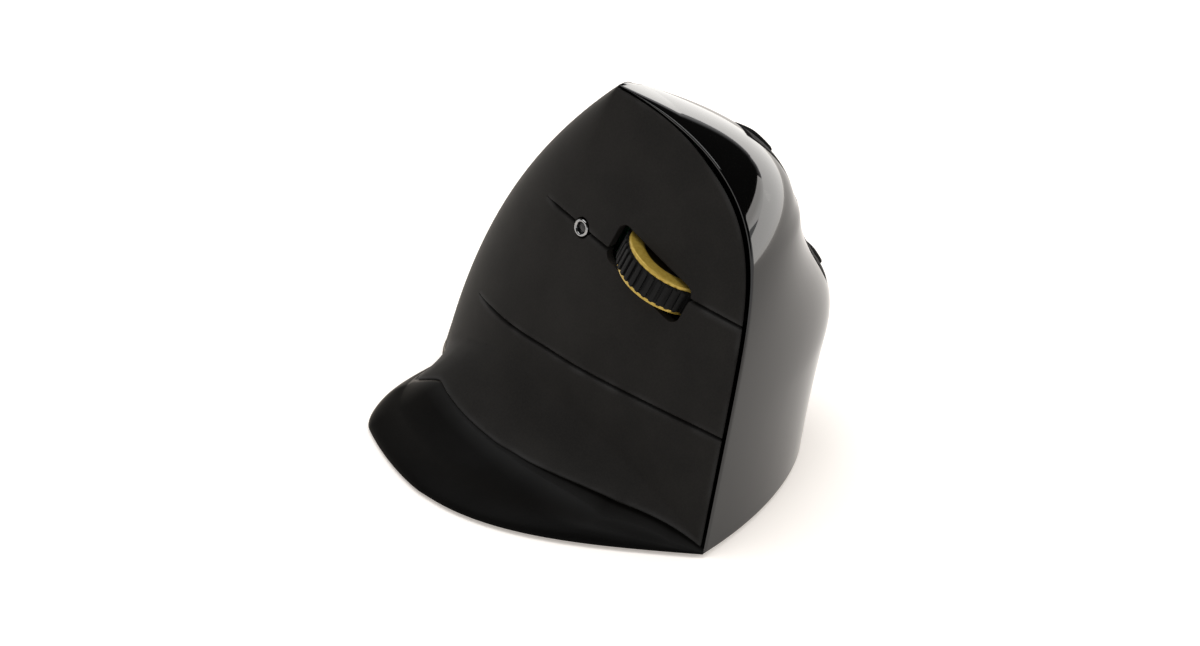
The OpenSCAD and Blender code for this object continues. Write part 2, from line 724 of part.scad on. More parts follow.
// Outline of the base plate: inside the lip, then inside the cover. Near the nose, where the lip is
// lower than the plate, the plate leaves room for the ring button to be pressed
press_room = 1.6;
function lip_inset(a) = flare(a, lip_top(a)) - lip_wall + wall;
function press_inset(a) = flare(a, plate_top + wall) + seam_gap - press_room;
function plate_inset(a) =
    lip_top(a) > plate_top + press_room / 2 ? lip_inset(a) : min(lip_inset(a), press_inset(a));
function base_edge(a) =
    let (
        w = wall + seam_gap,
        p = a <= 2 ? side_point(a, foot_h, w, body_height, plate_inset(a)) : skin(a, foot_h, w, body_height)
    )
    [p[0], p[1]];
base_side = 6;
base_nose = 12;
base_last = 3.96;
cover_stations = concat(after(2, 3, base_side), after(3, base_last, base_nose));
base_outline = [for (a = concat(lip_stations, cover_stations)) base_edge(a)];
module base_plate() {
    color([0.12, 0.12, 0.12])
        difference() {
            union() {
                translate([0, 0, foot_h])
                    linear_extrude(plate_t)
                        polygon(base_outline);
                for (x = [cell_x - bay_half - cradle_t, cell_x + bay_half])
                    translate([x, bay_back, plate_top - half_gap])
                        cube([cradle_t, bay_front - bay_back, cradle_h]);
                for (y = [cell_back - spring_l - cradle_t, bay_front])
                    translate([cell_x - bay_half - cradle_t, y, plate_top - half_gap])
                        cube([2 * (bay_half + cradle_t), cradle_t, cradle_h]);
                for (p = main_posts)
                    translate([p[0], p[1], plate_top - half_gap])
                        cylinder(d = post_d, h = main_z - plate_top + half_gap, $fn = fine);
            }
            translate([cell_x - bay_half, cell_back - spring_l + half_gap, 0])
                cube([2 * bay_half, bay_front - cell_back + spring_l - half_gap, plate_top + plate_t / 2]);
            translate([sensor_x - lens_l / 2 - half_gap, sensor_y - lens_w / 2 - half_gap, 0])
                cube([lens_l + seam_gap, lens_w + seam_gap, plate_top + plate_t]);
            translate([power_x - (knob_l + power_travel) / 2 - run_gap, power_y - knob_w / 2 - run_gap, 0])
                cube([knob_l + power_travel + 2 * run_gap, knob_w + 2 * run_gap, plate_top + plate_t]);
            for (p = main_posts)
                translate([p[0], p[1], plate_top])
                    cylinder(d = screw_d, h = main_z, $fn = fine);
            for (p = case_spots) {
                translate([p[0], p[1], 0])
                    cylinder(d = screw_d + 2 * run_gap, h = plate_top + plate_t, $fn = fine);
                translate([p[0], p[1], 0])
                    cylinder(d = head_d + 2 * run_gap, h = foot_h + head_t, $fn = fine);
            }
        }
}
module glide_feet() {
    color([0.2, 0.2, 0.21])
        for (p = feet_spots)
            translate([p[0], p[1], 0])
                cylinder(d = foot_d, h = foot_h, $fn = fine);
}
door_back = cell_back - spring_l + half_gap + door_gap;
rib_w = 2;
rib_places = [0.25, 0.75];
module battery_door() {
    l = bay_front - door_back - door_gap;
    w = 2 * (bay_half - door_gap);
    color([0.1, 0.1, 0.1])
        difference() {
            union() {
                translate([cell_x - w / 2, door_back, foot_h])
                    cube([w, l, door_t]);
                for (t = rib_places)
                    translate([cell_x - w / 2, cell_back + t * cell_l - rib_w / 2, foot_h])
                        cube([w, rib_w, cell_d / 4]);
            }
            translate([cell_x, door_back - l, cell_z])
                rotate([-90, 0, 0])
                    cylinder(d = cell_d + cell_gap, h = 3 * l, $fn = fine);
        }
}
nub_d = 5.2;
nub_l = 1.2;
module battery_cell() {
    color([0.45, 0.33, 0.16])
        translate([cell_x, cell_back, cell_z])
            rotate([-90, 0, 0])
                union() {
                    cylinder(d = cell_d, h = cell_l - nub_l, $fn = fine);
                    cylinder(d = nub_d, h = cell_l, $fn = fine);
                }
}
spring_wire = 0.9;
spring_big = 9;
spring_small = 5;
spring_turns = 4;
module battery_spring() {
    folds = 2 * spring_turns;
    function rim(k) = mix(spring_big, spring_small, k / folds) / 2 - (k % 2) * spring_wire / 2;
    function fold_y(k) = spring_l * k / folds;
    color([0.7, 0.7, 0.72])
        translate([cell_x, cell_back - spring_l, cell_z])
            rotate([-90, 0, 0])
                rotate_extrude($fn = fine)
                    polygon(concat([for (k = [0:folds]) [rim(k), fold_y(k)]],
                                   [for (k = [folds:-1:0]) [rim(k) - spring_wire, fold_y(k)]]));
}
module battery_plate() {
    color([0.75, 0.74, 0.7])
        translate([cell_x - nub_d, bay_front - contact_t, cell_z - nub_d])
            cube([2 * nub_d, contact_t, 2 * nub_d]);
}
module power_switch_body() {
    color([0.3, 0.3, 0.32])
        translate([power_x - power_l / 2, power_y - power_w / 2, plate_top])
            cube([power_l, power_w, power_h]);
}
module power_switch_knob() {
    color([0.75, 0.2, 0.15])
        translate([power_x + knob_start - knob_l / 2, power_y - knob_w / 2, foot_h + half_gap])
            cube([knob_l, knob_w, plate_t - half_gap - run_gap]);
}
// The main board keeps clear of the cover where a short body brings the cheek near
board_clear = 0.6;
main_limit = [
    for (a = concat(lip_stations, cover_stations))
        let (p = skin(a, main_z, wall + board_clear, body_height)) [p[0], p[1]]
];
module main_board() {
    color([0.08, 0.3, 0.16])
        difference() {
            intersection() {
                translate([main_x, main_y, main_z])
                    cube([main_l, main_w, board_t]);
                translate([0, 0, main_z - board_t])
                    linear_extrude(3 * board_t)
                        polygon(main_limit);
            }
            for (p = main_posts)
                translate([p[0], p[1], main_z - board_t])
                    cylinder(d = screw_d + 2 * run_gap, h = 3 * board_t, $fn = fine);
        }
}
chip_side = 6;
chip_t = 1;
module controller_chip() {
    color([0.05, 0.05, 0.05])
        translate([sensor_x - chip_side / 2, sensor_y - chip_side / 2, main_z + board_t])
            cube([chip_side, chip_side, chip_t]);
}
module motion_sensor() {
    color([0.07, 0.07, 0.08])
        translate([sensor_x - sensor_l / 2, sensor_y - sensor_w / 2, main_z - sensor_h])
            cube([sensor_l, sensor_w, sensor_h]);
}
module sensor_lens() {
    color([0.6, 0.65, 0.7, 0.6])
        union() {
            translate([sensor_x - lens_l / 2, sensor_y - lens_w / 2, foot_h + half_gap])
                cube([lens_l, lens_w, main_z - sensor_h - foot_h - half_gap]);
            translate([sensor_x - lens_l / 2 - collar, sensor_y - lens_w / 2 - collar, plate_top])
                cube([lens_l + 2 * collar, lens_w + 2 * collar, collar_t]);
        }
}

// Wheel, its carrier and its guides, in the frame of the wheel
flange_d = 21.6;
flange_w = 0.8;
tread_w = hub_w - 2 * flange_w;
rib_depth = 0.5;
side_gap = 0.4;
carrier_half = hub_w / 2 + side_gap + carrier_wall;
carrier_t = 1.4;
carrier_floor = -wheel_d / 2 - side_gap;
carrier_back = carrier_floor - carrier_t;
ear_half = 3.2;
ear_top = 2.2;
pin_y = 14.2;
pin_d = 2;
pin_edge = 2.2;
window_half = 12.4;
axle_over = 0.4;
wheel_fine = 72;
// Each corner of one rib: its share of the pitch and its depth as a share of the groove
rib_corners = [[0, 0], [0.55, 0], [0.7, 1], [0.85, 1]];
module wheel_tyre() {
    ribs = [
        for (k = [0:rib_count - 1])
            for (q = rib_corners)
                let (t = (k + q[0]) * 2 * half_turn / rib_count, r = wheel_d / 2 - q[1] * rib_depth)
                [r * cos(t), r * sin(t)]
    ];
    color([0.1, 0.1, 0.1])
        at_wheel()
            difference() {
                linear_extrude(tread_w, center = true)
                    polygon(ribs);
                cylinder(d = hub_d, h = 2 * tread_w, center = true, $fn = wheel_fine);
            }
}
dish = 0.5;
dish_edge = 2;
dish_rim = 1.4;
hub_edge = 0.3;
// One side of the hub from the axle to the tread, as [radius, distance from the middle]
hub_side = [
    [axle_d / 2, hub_w / 2 - dish], [hub_d / 2 - dish_edge, hub_w / 2 - dish],
    [hub_d / 2 - dish_rim, hub_w / 2], [flange_d / 2 - hub_edge, hub_w / 2],
    [flange_d / 2, hub_w / 2 - hub_edge], [flange_d / 2, tread_w / 2], [hub_d / 2, tread_w / 2]
];
module wheel_hub() {
    last = len(hub_side) - 1;
    color([0.78, 0.62, 0.25])
        at_wheel()
            rotate_extrude($fn = wheel_fine)
                polygon(concat([for (p = hub_side) [p[0], -p[1]]], [for (k = [last:-1:0]) hub_side[k]]));
}
module wheel_axle() {
    color([0.7, 0.7, 0.72])
        at_wheel()
            cylinder(d = axle_d, h = 2 * (carrier_half + axle_over), center = true, $fn = fine);
}
module wheel_carrier() {
    color([0.16, 0.16, 0.17])
        at_wheel()
            difference() {
                union() {
                    translate([carrier_back, -pin_y - pin_edge, -carrier_half])
                        cube([carrier_t, 2 * (pin_y + pin_edge), 2 * carrier_half]);
                    for (z = [-carrier_half, carrier_half - carrier_wall])
                        translate([carrier_back, -ear_half, z])
                            cube([ear_top - carrier_back, 2 * ear_half, carrier_wall]);
                }
                cylinder(d = axle_d + 2 * run_gap, h = 4 * carrier_half, center = true, $fn = fine);
                for (s = [-1, 1])
                    translate([carrier_back - carrier_t, s * pin_y, 0])
                        rotate([0, 90, 0])
                            cylinder(d = pin_d + 2 * run_gap, h = 3 * carrier_t, $fn = fine);
            }
}
coder_side = 9;
coder_n = 7.6;
coder_t = 4;
module wheel_encoder() {
    color([0.25, 0.27, 0.3])
        at_wheel()
            difference() {
                translate([-coder_n / 2, -coder_side / 2, -carrier_half - coder_t])
                    cube([coder_n, coder_side, coder_t]);
                cylinder(d = axle_d + 2 * run_gap, h = 4 * carrier_half, center = true, $fn = fine);
            }
}
push_gap = 0.1;
push_d = 3;
push_l = 0.5;
push_tip = carrier_back - wheel_stroke - push_gap;
module wheel_switch() {
    color([0.13, 0.13, 0.14])
        at_wheel()
            union() {
                translate([push_tip - push_l - press_h, -press_side / 2, -press_side / 2])
                    cube([press_h, press_side, press_side]);
                translate([push_tip - push_l - press_h / 2, 0, 0])
                    rotate([0, 90, 0])
                        cylinder(d = push_d, h = push_l + press_h / 2, $fn = fine);
            }
}

// Thumb switches stand on pads of the frame and face the buttons: x runs inwards from the button
function window_mid(w) = [(w[0] + w[1]) / 2, (w[2] + w[3]) / 2];
thumb_windows = [upper_window, lower_window];
function thumb_floor(k) = let (m = window_mid(thumb_windows[k])) button_floor(m[0], m[1]);
function thumb_turn(k) =
    let (
        m = window_mid(thumb_windows[k]),
        d = button_floor(m[0], m[1] + 1) - button_floor(m[0], m[1] - 1)
    )
    atan2(d[0], d[2]);
function thumb_yaw(k) =
    let (
        m = window_mid(thumb_windows[k]),
        d = button_floor(m[0] + 0.1, m[1]) - button_floor(m[0] - 0.1, m[1])
    )
    -atan2(d[0], d[1]);
module at_thumb(k) {
    translate(thumb_floor(k))
        rotate([0, thumb_turn(k), thumb_yaw(k)])
            children();
}
thumb_gap = 0.5;
thumb_tip = thumb_stroke + thumb_gap;
thumb_body = thumb_tip + push_l;
thumb_pad = thumb_body + press_h + board_t;
thumb_board_l = 8;
pad_t = 2;
arm_w = 4;
arm_sink = 0.75 * frame_t;
arm_drop = [11, 6];
arm_z = [rest_high - arm_drop[0], rest_low - arm_drop[1]];
module thumb_boards() {
    color([0.08, 0.3, 0.16])
        for (k = [0, 1])
            at_thumb(k)
                translate([thumb_body + press_h, -thumb_board_l / 2, -press_side / 2])
                    cube([board_t, thumb_board_l, press_side]);
}
module thumb_switches() {
    color([0.13, 0.13, 0.14])
        for (k = [0, 1])
            at_thumb(k)
                union() {
                    translate([thumb_body, -press_side / 2, -press_side / 2])
                        cube([press_h, press_side, press_side]);
                    translate([thumb_tip, 0, 0])
                        rotate([0, 90, 0])
                            cylinder(d = push_d, h = push_l + press_h / 2, $fn = fine);
                }
}
// Arm from the frame to the pad of one thumb switch
function arm_s(k) = arm_z[k] / cos(face_lean) - frame_n * lean_tan - arm_w;
module thumb_arm(k) {
    y = thumb_floor(k)[1];
    hull() {
        at_thumb(k)
            translate([thumb_pad, -thumb_board_l / 2, -press_side / 2])
                cube([pad_t, thumb_board_l, press_side]);
        on_face()
            translate([frame_n - arm_sink, y - arm_w / 2, arm_s(k)])
                cube([frame_t / 2, arm_w, arm_w]);
    }
}

// Frame that carries the finger board, the wheel guides and the thumb pads
frame_edge = 1;
frame_low = 9;
frame_high = arm_s(0) + arm_w;
frame_l = board_front - board_back + 2 * frame_edge;
shelf_t = 1.8;
shelf_half = 4;
shelf_n = push_tip - push_l - press_h;
shelf_drop = 3.2;
shelf_low = -carrier_half - shelf_drop;
leg_l = frame_n - frame_t / 2 - wheel_n - shelf_n;
stand_d = 5;
post_edge = 3.5;
lamp_clear = 8;
board_posts = [
    [board_back + post_edge, board_low + post_edge],
    [board_back + post_edge, lamp_s - lamp_clear],
    [board_front - post_edge, (finger_s(finger_z[0]) + finger_s(finger_z[1])) / 2]
];
module wheel_window(depth) {
    at_wheel()
        translate([carrier_back, -window_half, -carrier_half - seam_gap])
            cube([depth, 2 * window_half, 2 * (carrier_half + seam_gap)]);
}
module inner_frame() {
    color([0.2, 0.2, 0.22])
        difference() {
            union() {
                on_face() {
                    translate([frame_n - frame_t, board_back - frame_edge, frame_low])
                        cube([frame_t, frame_l, frame_high - frame_low]);
                    for (p = board_posts)
                        translate([frame_n - frame_t / 2, p[0], p[1]])
                            rotate([0, 90, 0])
                                cylinder(d = stand_d, h = frame_t / 2 + stand_h, $fn = fine);
                }
                translate([flange_x, board_back - frame_edge, plate_top])
                    cube([flange_l, frame_l, flange_t]);
                for (p = case_spots)
                    translate([p[0], p[1], plate_top])
                        cylinder(d = boss_d, h = boss_h, $fn = fine);
                at_wheel() {
                    for (y = [-pin_y, pin_y])
                        translate([shelf_n, y, 0])
                            rotate([0, 90, 0])
                                cylinder(d = pin_d, h = leg_l, $fn = fine);
                    translate([shelf_n - shelf_t, -shelf_half, shelf_low])
                        cube([shelf_t, 2 * shelf_half, shelf_half - shelf_low]);
                    translate([shelf_n - shelf_t, -shelf_half, shelf_low])
                        cube([leg_l + shelf_t, 2 * shelf_half, shelf_t]);
                }
                thumb_arm(0);
                thumb_arm(1);
            }
            wheel_window(wheel_d);
            on_face()
                for (p = board_posts)
                    translate([frame_n - 2 * frame_t, p[0], p[1]])
                        rotate([0, 90, 0])
                            cylinder(d = screw_d, h = 4 * frame_t, $fn = fine);
            for (p = case_spots)
                translate([p[0], p[1], 0])
                    cylinder(d = screw_d, h = 4 * plate_top, $fn = fine);
        }
}
module finger_board() {
    color([0.08, 0.3, 0.16])
        difference() {
            on_face()
                translate([board_n - board_t, board_back, board_low])
                    cube([board_t, board_front - board_back, board_high - board_low]);
            wheel_window(wheel_d);
            on_face()
                for (p = board_posts)
                    translate([board_n - 2 * board_t, p[0], p[1]])
                        rotate([0, 90, 0])
                            cylinder(d = screw_d + 2 * run_gap, h = 3 * board_t, $fn = fine);
        }
}
plunger_w = 1.6;
plunger_l = 3;
finger_stroke = 0.6;
finger_gap = 0.3;
module finger_switches() {
    color([0.13, 0.13, 0.14])
        on_face()
            for (z = finger_z)
                union() {
                    translate([board_n, finger_y - switch_l / 2, finger_s(z) - switch_w / 2])
                        cube([switch_h, switch_l, switch_w]);
                    translate([board_n + switch_h / 2, finger_y - plunger_l / 2,
                               finger_s(z) - plunger_w / 2])
                        cube([face_n(finger_tip(z)) - finger_stroke - finger_gap - board_n - switch_h / 2,
                              plunger_l, plunger_w]);
                }
}
pipe_d = bezel_bore - run_gap / 2;
bezel_over = 0.4;
module indicator_bezel() {
    color([0.8, 0.8, 0.82])
        at_lamp()
            translate([0, 0, lamp_n + bezel_over - bezel_depth])
                difference() {
                    cylinder(d = bezel_d, h = bezel_depth, $fn = fine);
                    translate([0, 0, -bezel_depth])
                        cylinder(d = bezel_bore, h = 3 * bezel_depth, $fn = fine);
                }
}
module indicator_lens() {
    color([0.1, 0.1, 0.12])
        at_lamp()
            translate([0, 0, board_n])
                cylinder(d = pipe_d, h = lamp_n - board_n, $fn = fine);
}
pan_d = 3.4;
pan_t = 1.2;
grip = 3;
board_grip = 2;
module case_screws() {
    color([0.6, 0.6, 0.62])
        for (p = case_spots)
            translate([p[0], p[1], foot_h + run_gap])
                union() {
                    cylinder(d = head_d, h = head_t - run_gap, $fn = fine);
                    cylinder(d = screw_d, h = plate_t + grip, $fn = fine);
                }
}
module board_screws() {
    color([0.6, 0.6, 0.62]) {
        for (p = main_posts)
            translate([p[0], p[1], main_z + board_t - grip])
                union() {
                    cylinder(d = screw_d, h = grip, $fn = fine);
                    translate([0, 0, grip])
                        cylinder(d = pan_d, h = pan_t, $fn = fine);
                }
        on_face()
            for (p = board_posts)
                translate([board_n - board_t - board_grip, p[0], p[1]])
                    rotate([0, 90, 0])
                        union() {
                            cylinder(d = screw_d, h = board_grip + board_t, $fn = fine);
                            translate([0, 0, board_grip + board_t])
                                cylinder(d = pan_d, h = pan_t, $fn = fine);
                        }
    }
}

base_plate();
glide_feet();
battery_door();
battery_cell();
battery_spring();
battery_plate();
power_switch_body();
power_switch_knob();
main_board();
controller_chip();
motion_sensor();
sensor_lens();
inner_frame();
finger_board();
finger_switches();
thumb_boards();
thumb_switches();
lip_skirt();
palm_shell();
index_button();
middle_button();
ring_button();
front_cover();
groove_trim();
thumb_rest();
thumb_button_upper();
thumb_button_lower();
wheel_tyre();
wheel_hub();
wheel_axle();
wheel_carrier();
wheel_encoder();
wheel_switch();
indicator_bezel();
indicator_lens();
case_screws();
board_screws();
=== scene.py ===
# Vertical mouse for the right hand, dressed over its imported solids. Metres, with shapes worked out in millimetres.
import math

import bmesh
import bpy
import numpy as np
from mathutils import Matrix, Vector
from mathutils.kdtree import KDTree


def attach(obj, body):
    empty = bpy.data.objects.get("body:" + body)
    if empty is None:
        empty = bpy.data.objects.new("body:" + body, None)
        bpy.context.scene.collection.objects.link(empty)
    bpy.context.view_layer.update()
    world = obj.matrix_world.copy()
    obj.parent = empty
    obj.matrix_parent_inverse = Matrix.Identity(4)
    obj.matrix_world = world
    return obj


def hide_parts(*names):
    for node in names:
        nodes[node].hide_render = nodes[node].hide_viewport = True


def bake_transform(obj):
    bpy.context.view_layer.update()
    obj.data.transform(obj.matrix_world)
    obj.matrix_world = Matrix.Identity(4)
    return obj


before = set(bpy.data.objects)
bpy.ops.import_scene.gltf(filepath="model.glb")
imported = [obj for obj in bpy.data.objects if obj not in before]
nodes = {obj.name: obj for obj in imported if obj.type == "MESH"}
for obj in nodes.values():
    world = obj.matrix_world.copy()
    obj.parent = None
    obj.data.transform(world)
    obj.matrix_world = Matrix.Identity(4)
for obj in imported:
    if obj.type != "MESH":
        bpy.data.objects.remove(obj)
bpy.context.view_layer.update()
scene = bpy.context.scene
print("frame loaded,", len(nodes), "solids")


# Shape of the moulded skin, the same rules as the solids follow
body = {"height": 80.0, "width": 84.0, "length": 94.0, "foot": 0.8, "wall": 2.0, "seam": 0.4,
        "groove": 1.5, "ridgeGap": 0.6, "ridgeFade": 7.0, "lean": 17.4, "rake": 0.05, "bulge": 2.8,
        "bulgeEnd": 1.3, "bulgeFade": 0.6, "apexY": -2.5, "turnY": -8.7, "thinning": 6}
lip = {"reach": 26.3, "edge": 2.4, "root": 17.4, "band": 6.5, "wall": 1.8, "tip": 0.3, "heelRim": 0.4,
       "front": 2.2, "roll": 0.3, "fall": 30.0, "soft": 0.02, "tipFrom": 1.15, "tipSpan": 0.17, "tipPower": 1.82,
       "fullAt": 0.95, "rootSlow": 1.25, "bandFrom": 1.02, "bandSpan": 0.36, "edgeShare": 0.15, "edgeLeast": 0.05,
       "bends": (0.52, 0.82), "bendFrom": 0.85, "bendSpan": 0.35}
thumb = {"base": 51.0, "groove": 28.4, "hood": 27.3, "heel": 46.0, "back": 21.5, "ledge": 34.2, "ledgeSpare": 2,
         "grooveFrom": 26.2, "grooveRise": 31.8, "hoodFrom": 58, "hoodRise": 4, "backRise": 75,
         "cheekLow": 29, "cheekHigh": 15.4, "cheekLeast": 0.15}
domes = {"thumb": (9, 1.2), "back": (3.6, 1.8), "crease": (7.2, 2.15), "heel": (1.8, 1.03), "turn": (3, 1.2)}
slits = {"upper": 47.2, "rise": 3.6, "lower": 24.2, "arch": 0.9, "fall": 2.3, "hingeUpper": 1.12,
         "hingeLower": 1.22, "hingeFoot": 1.0, "half": 0.36, "gape": 0.7, "gapeEnd": 0.95, "gapeFade": 0.6}
seamLine = {"start": 0.85, "rise": 3.95, "run": 0.27, "hump": 2.6, "humpAt": 1.007, "humpSoft": 0.048,
            "drop": 4.45, "dropFrom": 1.145, "dropSpan": 0.09}

height, wall, halfGap = body["height"], body["wall"], body["seam"] / 2
leanTan = math.tan(math.radians(body["lean"]))
faceX = body["width"] / 2 - lip["reach"] + body["foot"] * leanTan
noseY = body["length"] / 2
heelY = lip["heelRim"] - noseY
ledgeThick = body["width"] / 2 + faceX - thumb["ledge"] * leanTan + thumb["ledgeSpare"]


def ramp(t):
    return np.clip(t, 0, 1)


def ease(t):
    c = ramp(t)
    return c * c * (3 - 2 * c)


def mix(a, b, t):
    return a + (b - a) * t


def arch(t):
    return np.sin(math.pi / 2 * t)


# Share left of a full width at height z, falling to nothing at the top
def dome(z, top, kind):
    n, m = domes[kind]
    return np.maximum(0, 1 - ramp(z / top) ** n) ** (1 / m)


def domeHeight(share, top, kind):
    n, m = domes[kind]
    return top * (1 - share ** m) ** (1 / n)


def sideX(z, w):
    return faceX - z * leanTan - w


def thumbX(z, w, top):
    thick = (mix(thumb["base"], ledgeThick, arch(ramp(z / thumb["ledge"])))
             + (thumb["groove"] - ledgeThick) * ease((z - thumb["grooveFrom"]) / thumb["grooveRise"])
             + (thumb["hood"] - thumb["groove"]) * ease((z - thumb["hoodFrom"]) / thumb["hoodRise"]))
    return sideX(z, w) - (thick - 2 * w) * dome(z, top, "thumb")


def backX(z, w, top):
    thick = mix(thumb["heel"], thumb["back"], ease(z / thumb["backRise"]))
    return sideX(z, w) - (thick - 2 * w) * dome(z, top, "back")


def creaseY(z, w, top):
    return body["apexY"] + (noseY - w - body["apexY"] - body["rake"] * z) * dome(z, top, "crease")


def backY(z, w, top):
    return body["apexY"] + (heelY + w - body["apexY"]) * dome(z, top, "heel")


def turnY(z, top):
    return body["apexY"] + (body["turnY"] - body["apexY"]) * dome(z, top, "turn")


def cheekY(z, w, top):
    c = creaseY(z, w, top)
    deep = mix(thumb["cheekLow"], thumb["cheekHigh"], ease(z / height))
    return np.maximum(c - deep + w, mix(turnY(z, top), c, thumb["cheekLeast"]))


# Flare of the lip along the stations: 0 to 1 is the finger side, 1 to 2 the heel
def reachAt(a):
    u = np.maximum(0, a - 1)
    corner = (1 - ramp((a - lip["tipFrom"]) / lip["tipSpan"]) ** lip["tipPower"]) ** 2
    heel = mix(lip["heelRim"], lip["reach"] - lip["fall"] * u * u / (u + lip["soft"]), corner)
    return np.where(a < 1, mix(lip["tip"], lip["reach"], arch(ramp(a / lip["fullAt"]))), heel)


def rootAt(a):
    slow = lip["rootSlow"]
    return np.where(a < 1, mix(lip["front"], lip["root"], arch(a / slow) / arch(1 / slow)),
                    mix(lip["root"], lip["band"], ease((a - lip["bandFrom"]) / lip["bandSpan"])))


def edgeAt(a):
    return np.minimum(lip["edge"], lip["edgeShare"] * reachAt(a) + lip["edgeLeast"])


def rollAt(a):
    return lip["roll"] * reachAt(a)


def flatAt(a):
    return reachAt(a) - rollAt(a)


def flare(a, z):
    rim = body["foot"] + edgeAt(a)
    rise = np.maximum(rootAt(a), rim + lip["tip"]) - rim
    bend = mix(*lip["bends"], ease((a - lip["bendFrom"]) / lip["bendSpan"]))
    t = ramp((z - rim) / rise)
    return flatAt(a) * np.maximum(0, 1 - t ** bend) ** (1 / bend)


def swell(a, z):
    end = body["bulgeEnd"]
    return (body["bulge"] * np.sin(math.pi * ramp(a / end)) * ease((end - a) / body["bulgeFade"])
            * np.sin(math.pi * ramp(z / height)))


def sidePoint(a, z, w, top, d):
    x, s = sideX(z, w), turnY(z, top)
    r, b = (x - backX(z, w, top)) / 2, s - backY(z, w, top)
    t = math.pi * np.maximum(a - 1, 0)
    k = np.maximum(np.hypot(b * np.cos(t), r * np.sin(t)), lip["tip"] / 100)
    flat = np.stack([x + d, mix(creaseY(z, w, top), s, a), z + 0 * a], -1)
    bent = np.stack([x - r + r * np.cos(t) + d * b * np.cos(t) / k,
                     s - b * np.sin(t) - d * r * np.sin(t) / k, z + 0 * a], -1)
    return np.where((a <= 1)[..., None], flat, bent)


def fingerSkin(a, z, w=0.0, top=height):
    return sidePoint(a, z, w, top, flare(a, z + w) + swell(a, z))


def thumbSkin(a, z, w=0.0, top=height):
    x, l, c = sideX(z, w), thumbX(z, w, top), cheekY(z, w, top)
    t = math.pi / 2 * np.maximum(a - 3, 0)
    side = np.stack([mix(backX(z, w, top), l, ease(a - 2)), mix(turnY(z, top), c, a - 2), z + 0 * a], -1)
    nose = np.stack([x - (x - l) * np.cos(t), c + (creaseY(z, w, top) - c) * np.sin(t), z + 0 * a], -1)
    return np.where((a <= 3)[..., None], side, nose)


# Height of a point sunk by w under the apex, and hardly at all low down
def sunk(z, w):
    return z - w * (z / height) ** body["thinning"]


def fingerInside(a, z):
    return fingerSkin(a, sunk(z, wall), wall, height - wall)


def thumbInside(a, z, w=wall):
    return thumbSkin(a, sunk(z, wall / 2), w, height - wall / 2)


def upperSlit(a):
    return slits["upper"] + slits["rise"] * a


def lowerSlit(a):
    return slits["lower"] + slits["arch"] * a - slits["fall"] * a * a


# Parting line of lip and flaps: it climbs from the nose, humps at the turn and falls away round the heel
def lipSeam(a):
    rise = seamLine["rise"] * (1 - np.exp(-a / seamLine["run"]))
    hump = seamLine["hump"] / (1 + np.exp((seamLine["humpAt"] - a) / seamLine["humpSoft"]))
    fall = ease((a - seamLine["dropFrom"]) / seamLine["dropSpan"])
    return seamLine["start"] + rise + hump - seamLine["drop"] * fall


def lipGap(a):
    return halfGap + slits["gape"] / 2 * ease((slits["gapeEnd"] - a) / slits["gapeFade"])


upperEnd, lowerEnd = upperSlit(slits["hingeUpper"]), lowerSlit(slits["hingeLower"])


# Station of the living hinges at a height
def hingeAt(z):
    low = lipSeam(1.0)
    middle = mix(slits["hingeLower"], slits["hingeUpper"], ramp((z - lowerEnd) / (upperEnd - lowerEnd)))
    foot = mix(slits["hingeFoot"], slits["hingeLower"], ramp((z - low) / (lowerEnd - low)))
    return np.where(z > lowerEnd, middle, foot)


# Station of the flaps' edge at the groove
def creaseSet(z, w, top):
    c = creaseY(z, w, top)
    g = mix(body["ridgeGap"], body["groove"], ease((height - z) / body["ridgeFade"]))
    return (c - creaseY(z, w + g, top - g)) / np.maximum(c - turnY(z, top), 1e-6)


# Shader sockets that can be reckoned with, and one way to add any node
class Wire:
    def __init__(self, finish, socket):
        self.finish, self.socket = finish, socket

    def math(self, operation, first, second):
        return self.finish.node("ShaderNodeMath", {"operation": operation}, {0: first, 1: second})

    def __add__(self, other):
        return self.math("ADD", self, other)

    def __sub__(self, other):
        return self.math("SUBTRACT", self, other)

    def __rsub__(self, other):
        return self.math("SUBTRACT", other, self)

    def __mul__(self, other):
        return self.math("MULTIPLY", self, other)

    def __gt__(self, other):
        return self.math("GREATER_THAN", self, other)

    __radd__, __rmul__ = __add__, __mul__


class Finish:
    def __init__(self, holder):
        self.holder = holder
        holder.use_nodes = True
        self.tree = holder.node_tree

    def node(self, kind, settings=None, inputs=None, out=0):
        made = self.tree.nodes.new(kind)
        for key, value in (settings or {}).items():
            setattr(made, key, value)
        for key, value in (inputs or {}).items():
            self.feed(made.inputs[key], value)
        return Wire(self, made.outputs[out])

    def feed(self, socket, value):
        if isinstance(value, Wire):
            self.tree.links.new(value.socket, socket)
        else:
            socket.default_value = value

    def surface(self, **values):
        shader = self.tree.nodes["Principled BSDF"]
        for key, value in values.items():
            self.feed(shader.inputs[key.replace("_", " ")], value)
        return self.holder

    def place(self, stretch=(1, 1, 1)):
        spot = self.node("ShaderNodeTexCoord", {}, {}, "Object")
        return self.node("ShaderNodeMapping", {}, {"Vector": spot, "Scale": stretch})

    def noise(self, size, detail=2.0, stretch=(1, 1, 1)):
        return self.node("ShaderNodeTexNoise", {}, {"Vector": self.place(stretch), "Scale": 1 / size,
                                                    "Detail": detail, "Roughness": 0.55})

    def blendColour(self, factor, first, second):
        return self.node("ShaderNodeMix", {"data_type": "RGBA"}, {0: factor, 6: first, 7: second}, 2)

    def bump(self, heightMap, depth, strength):
        return self.node("ShaderNodeBump", {}, {"Height": heightMap, "Distance": depth, "Strength": strength})

    def band(self, value, low=0.3, high=0.7):
        return self.node("ShaderNodeMapRange", {"interpolation_type": "SMOOTHSTEP"},
                         {"Value": value, "From Min": low, "From Max": high})


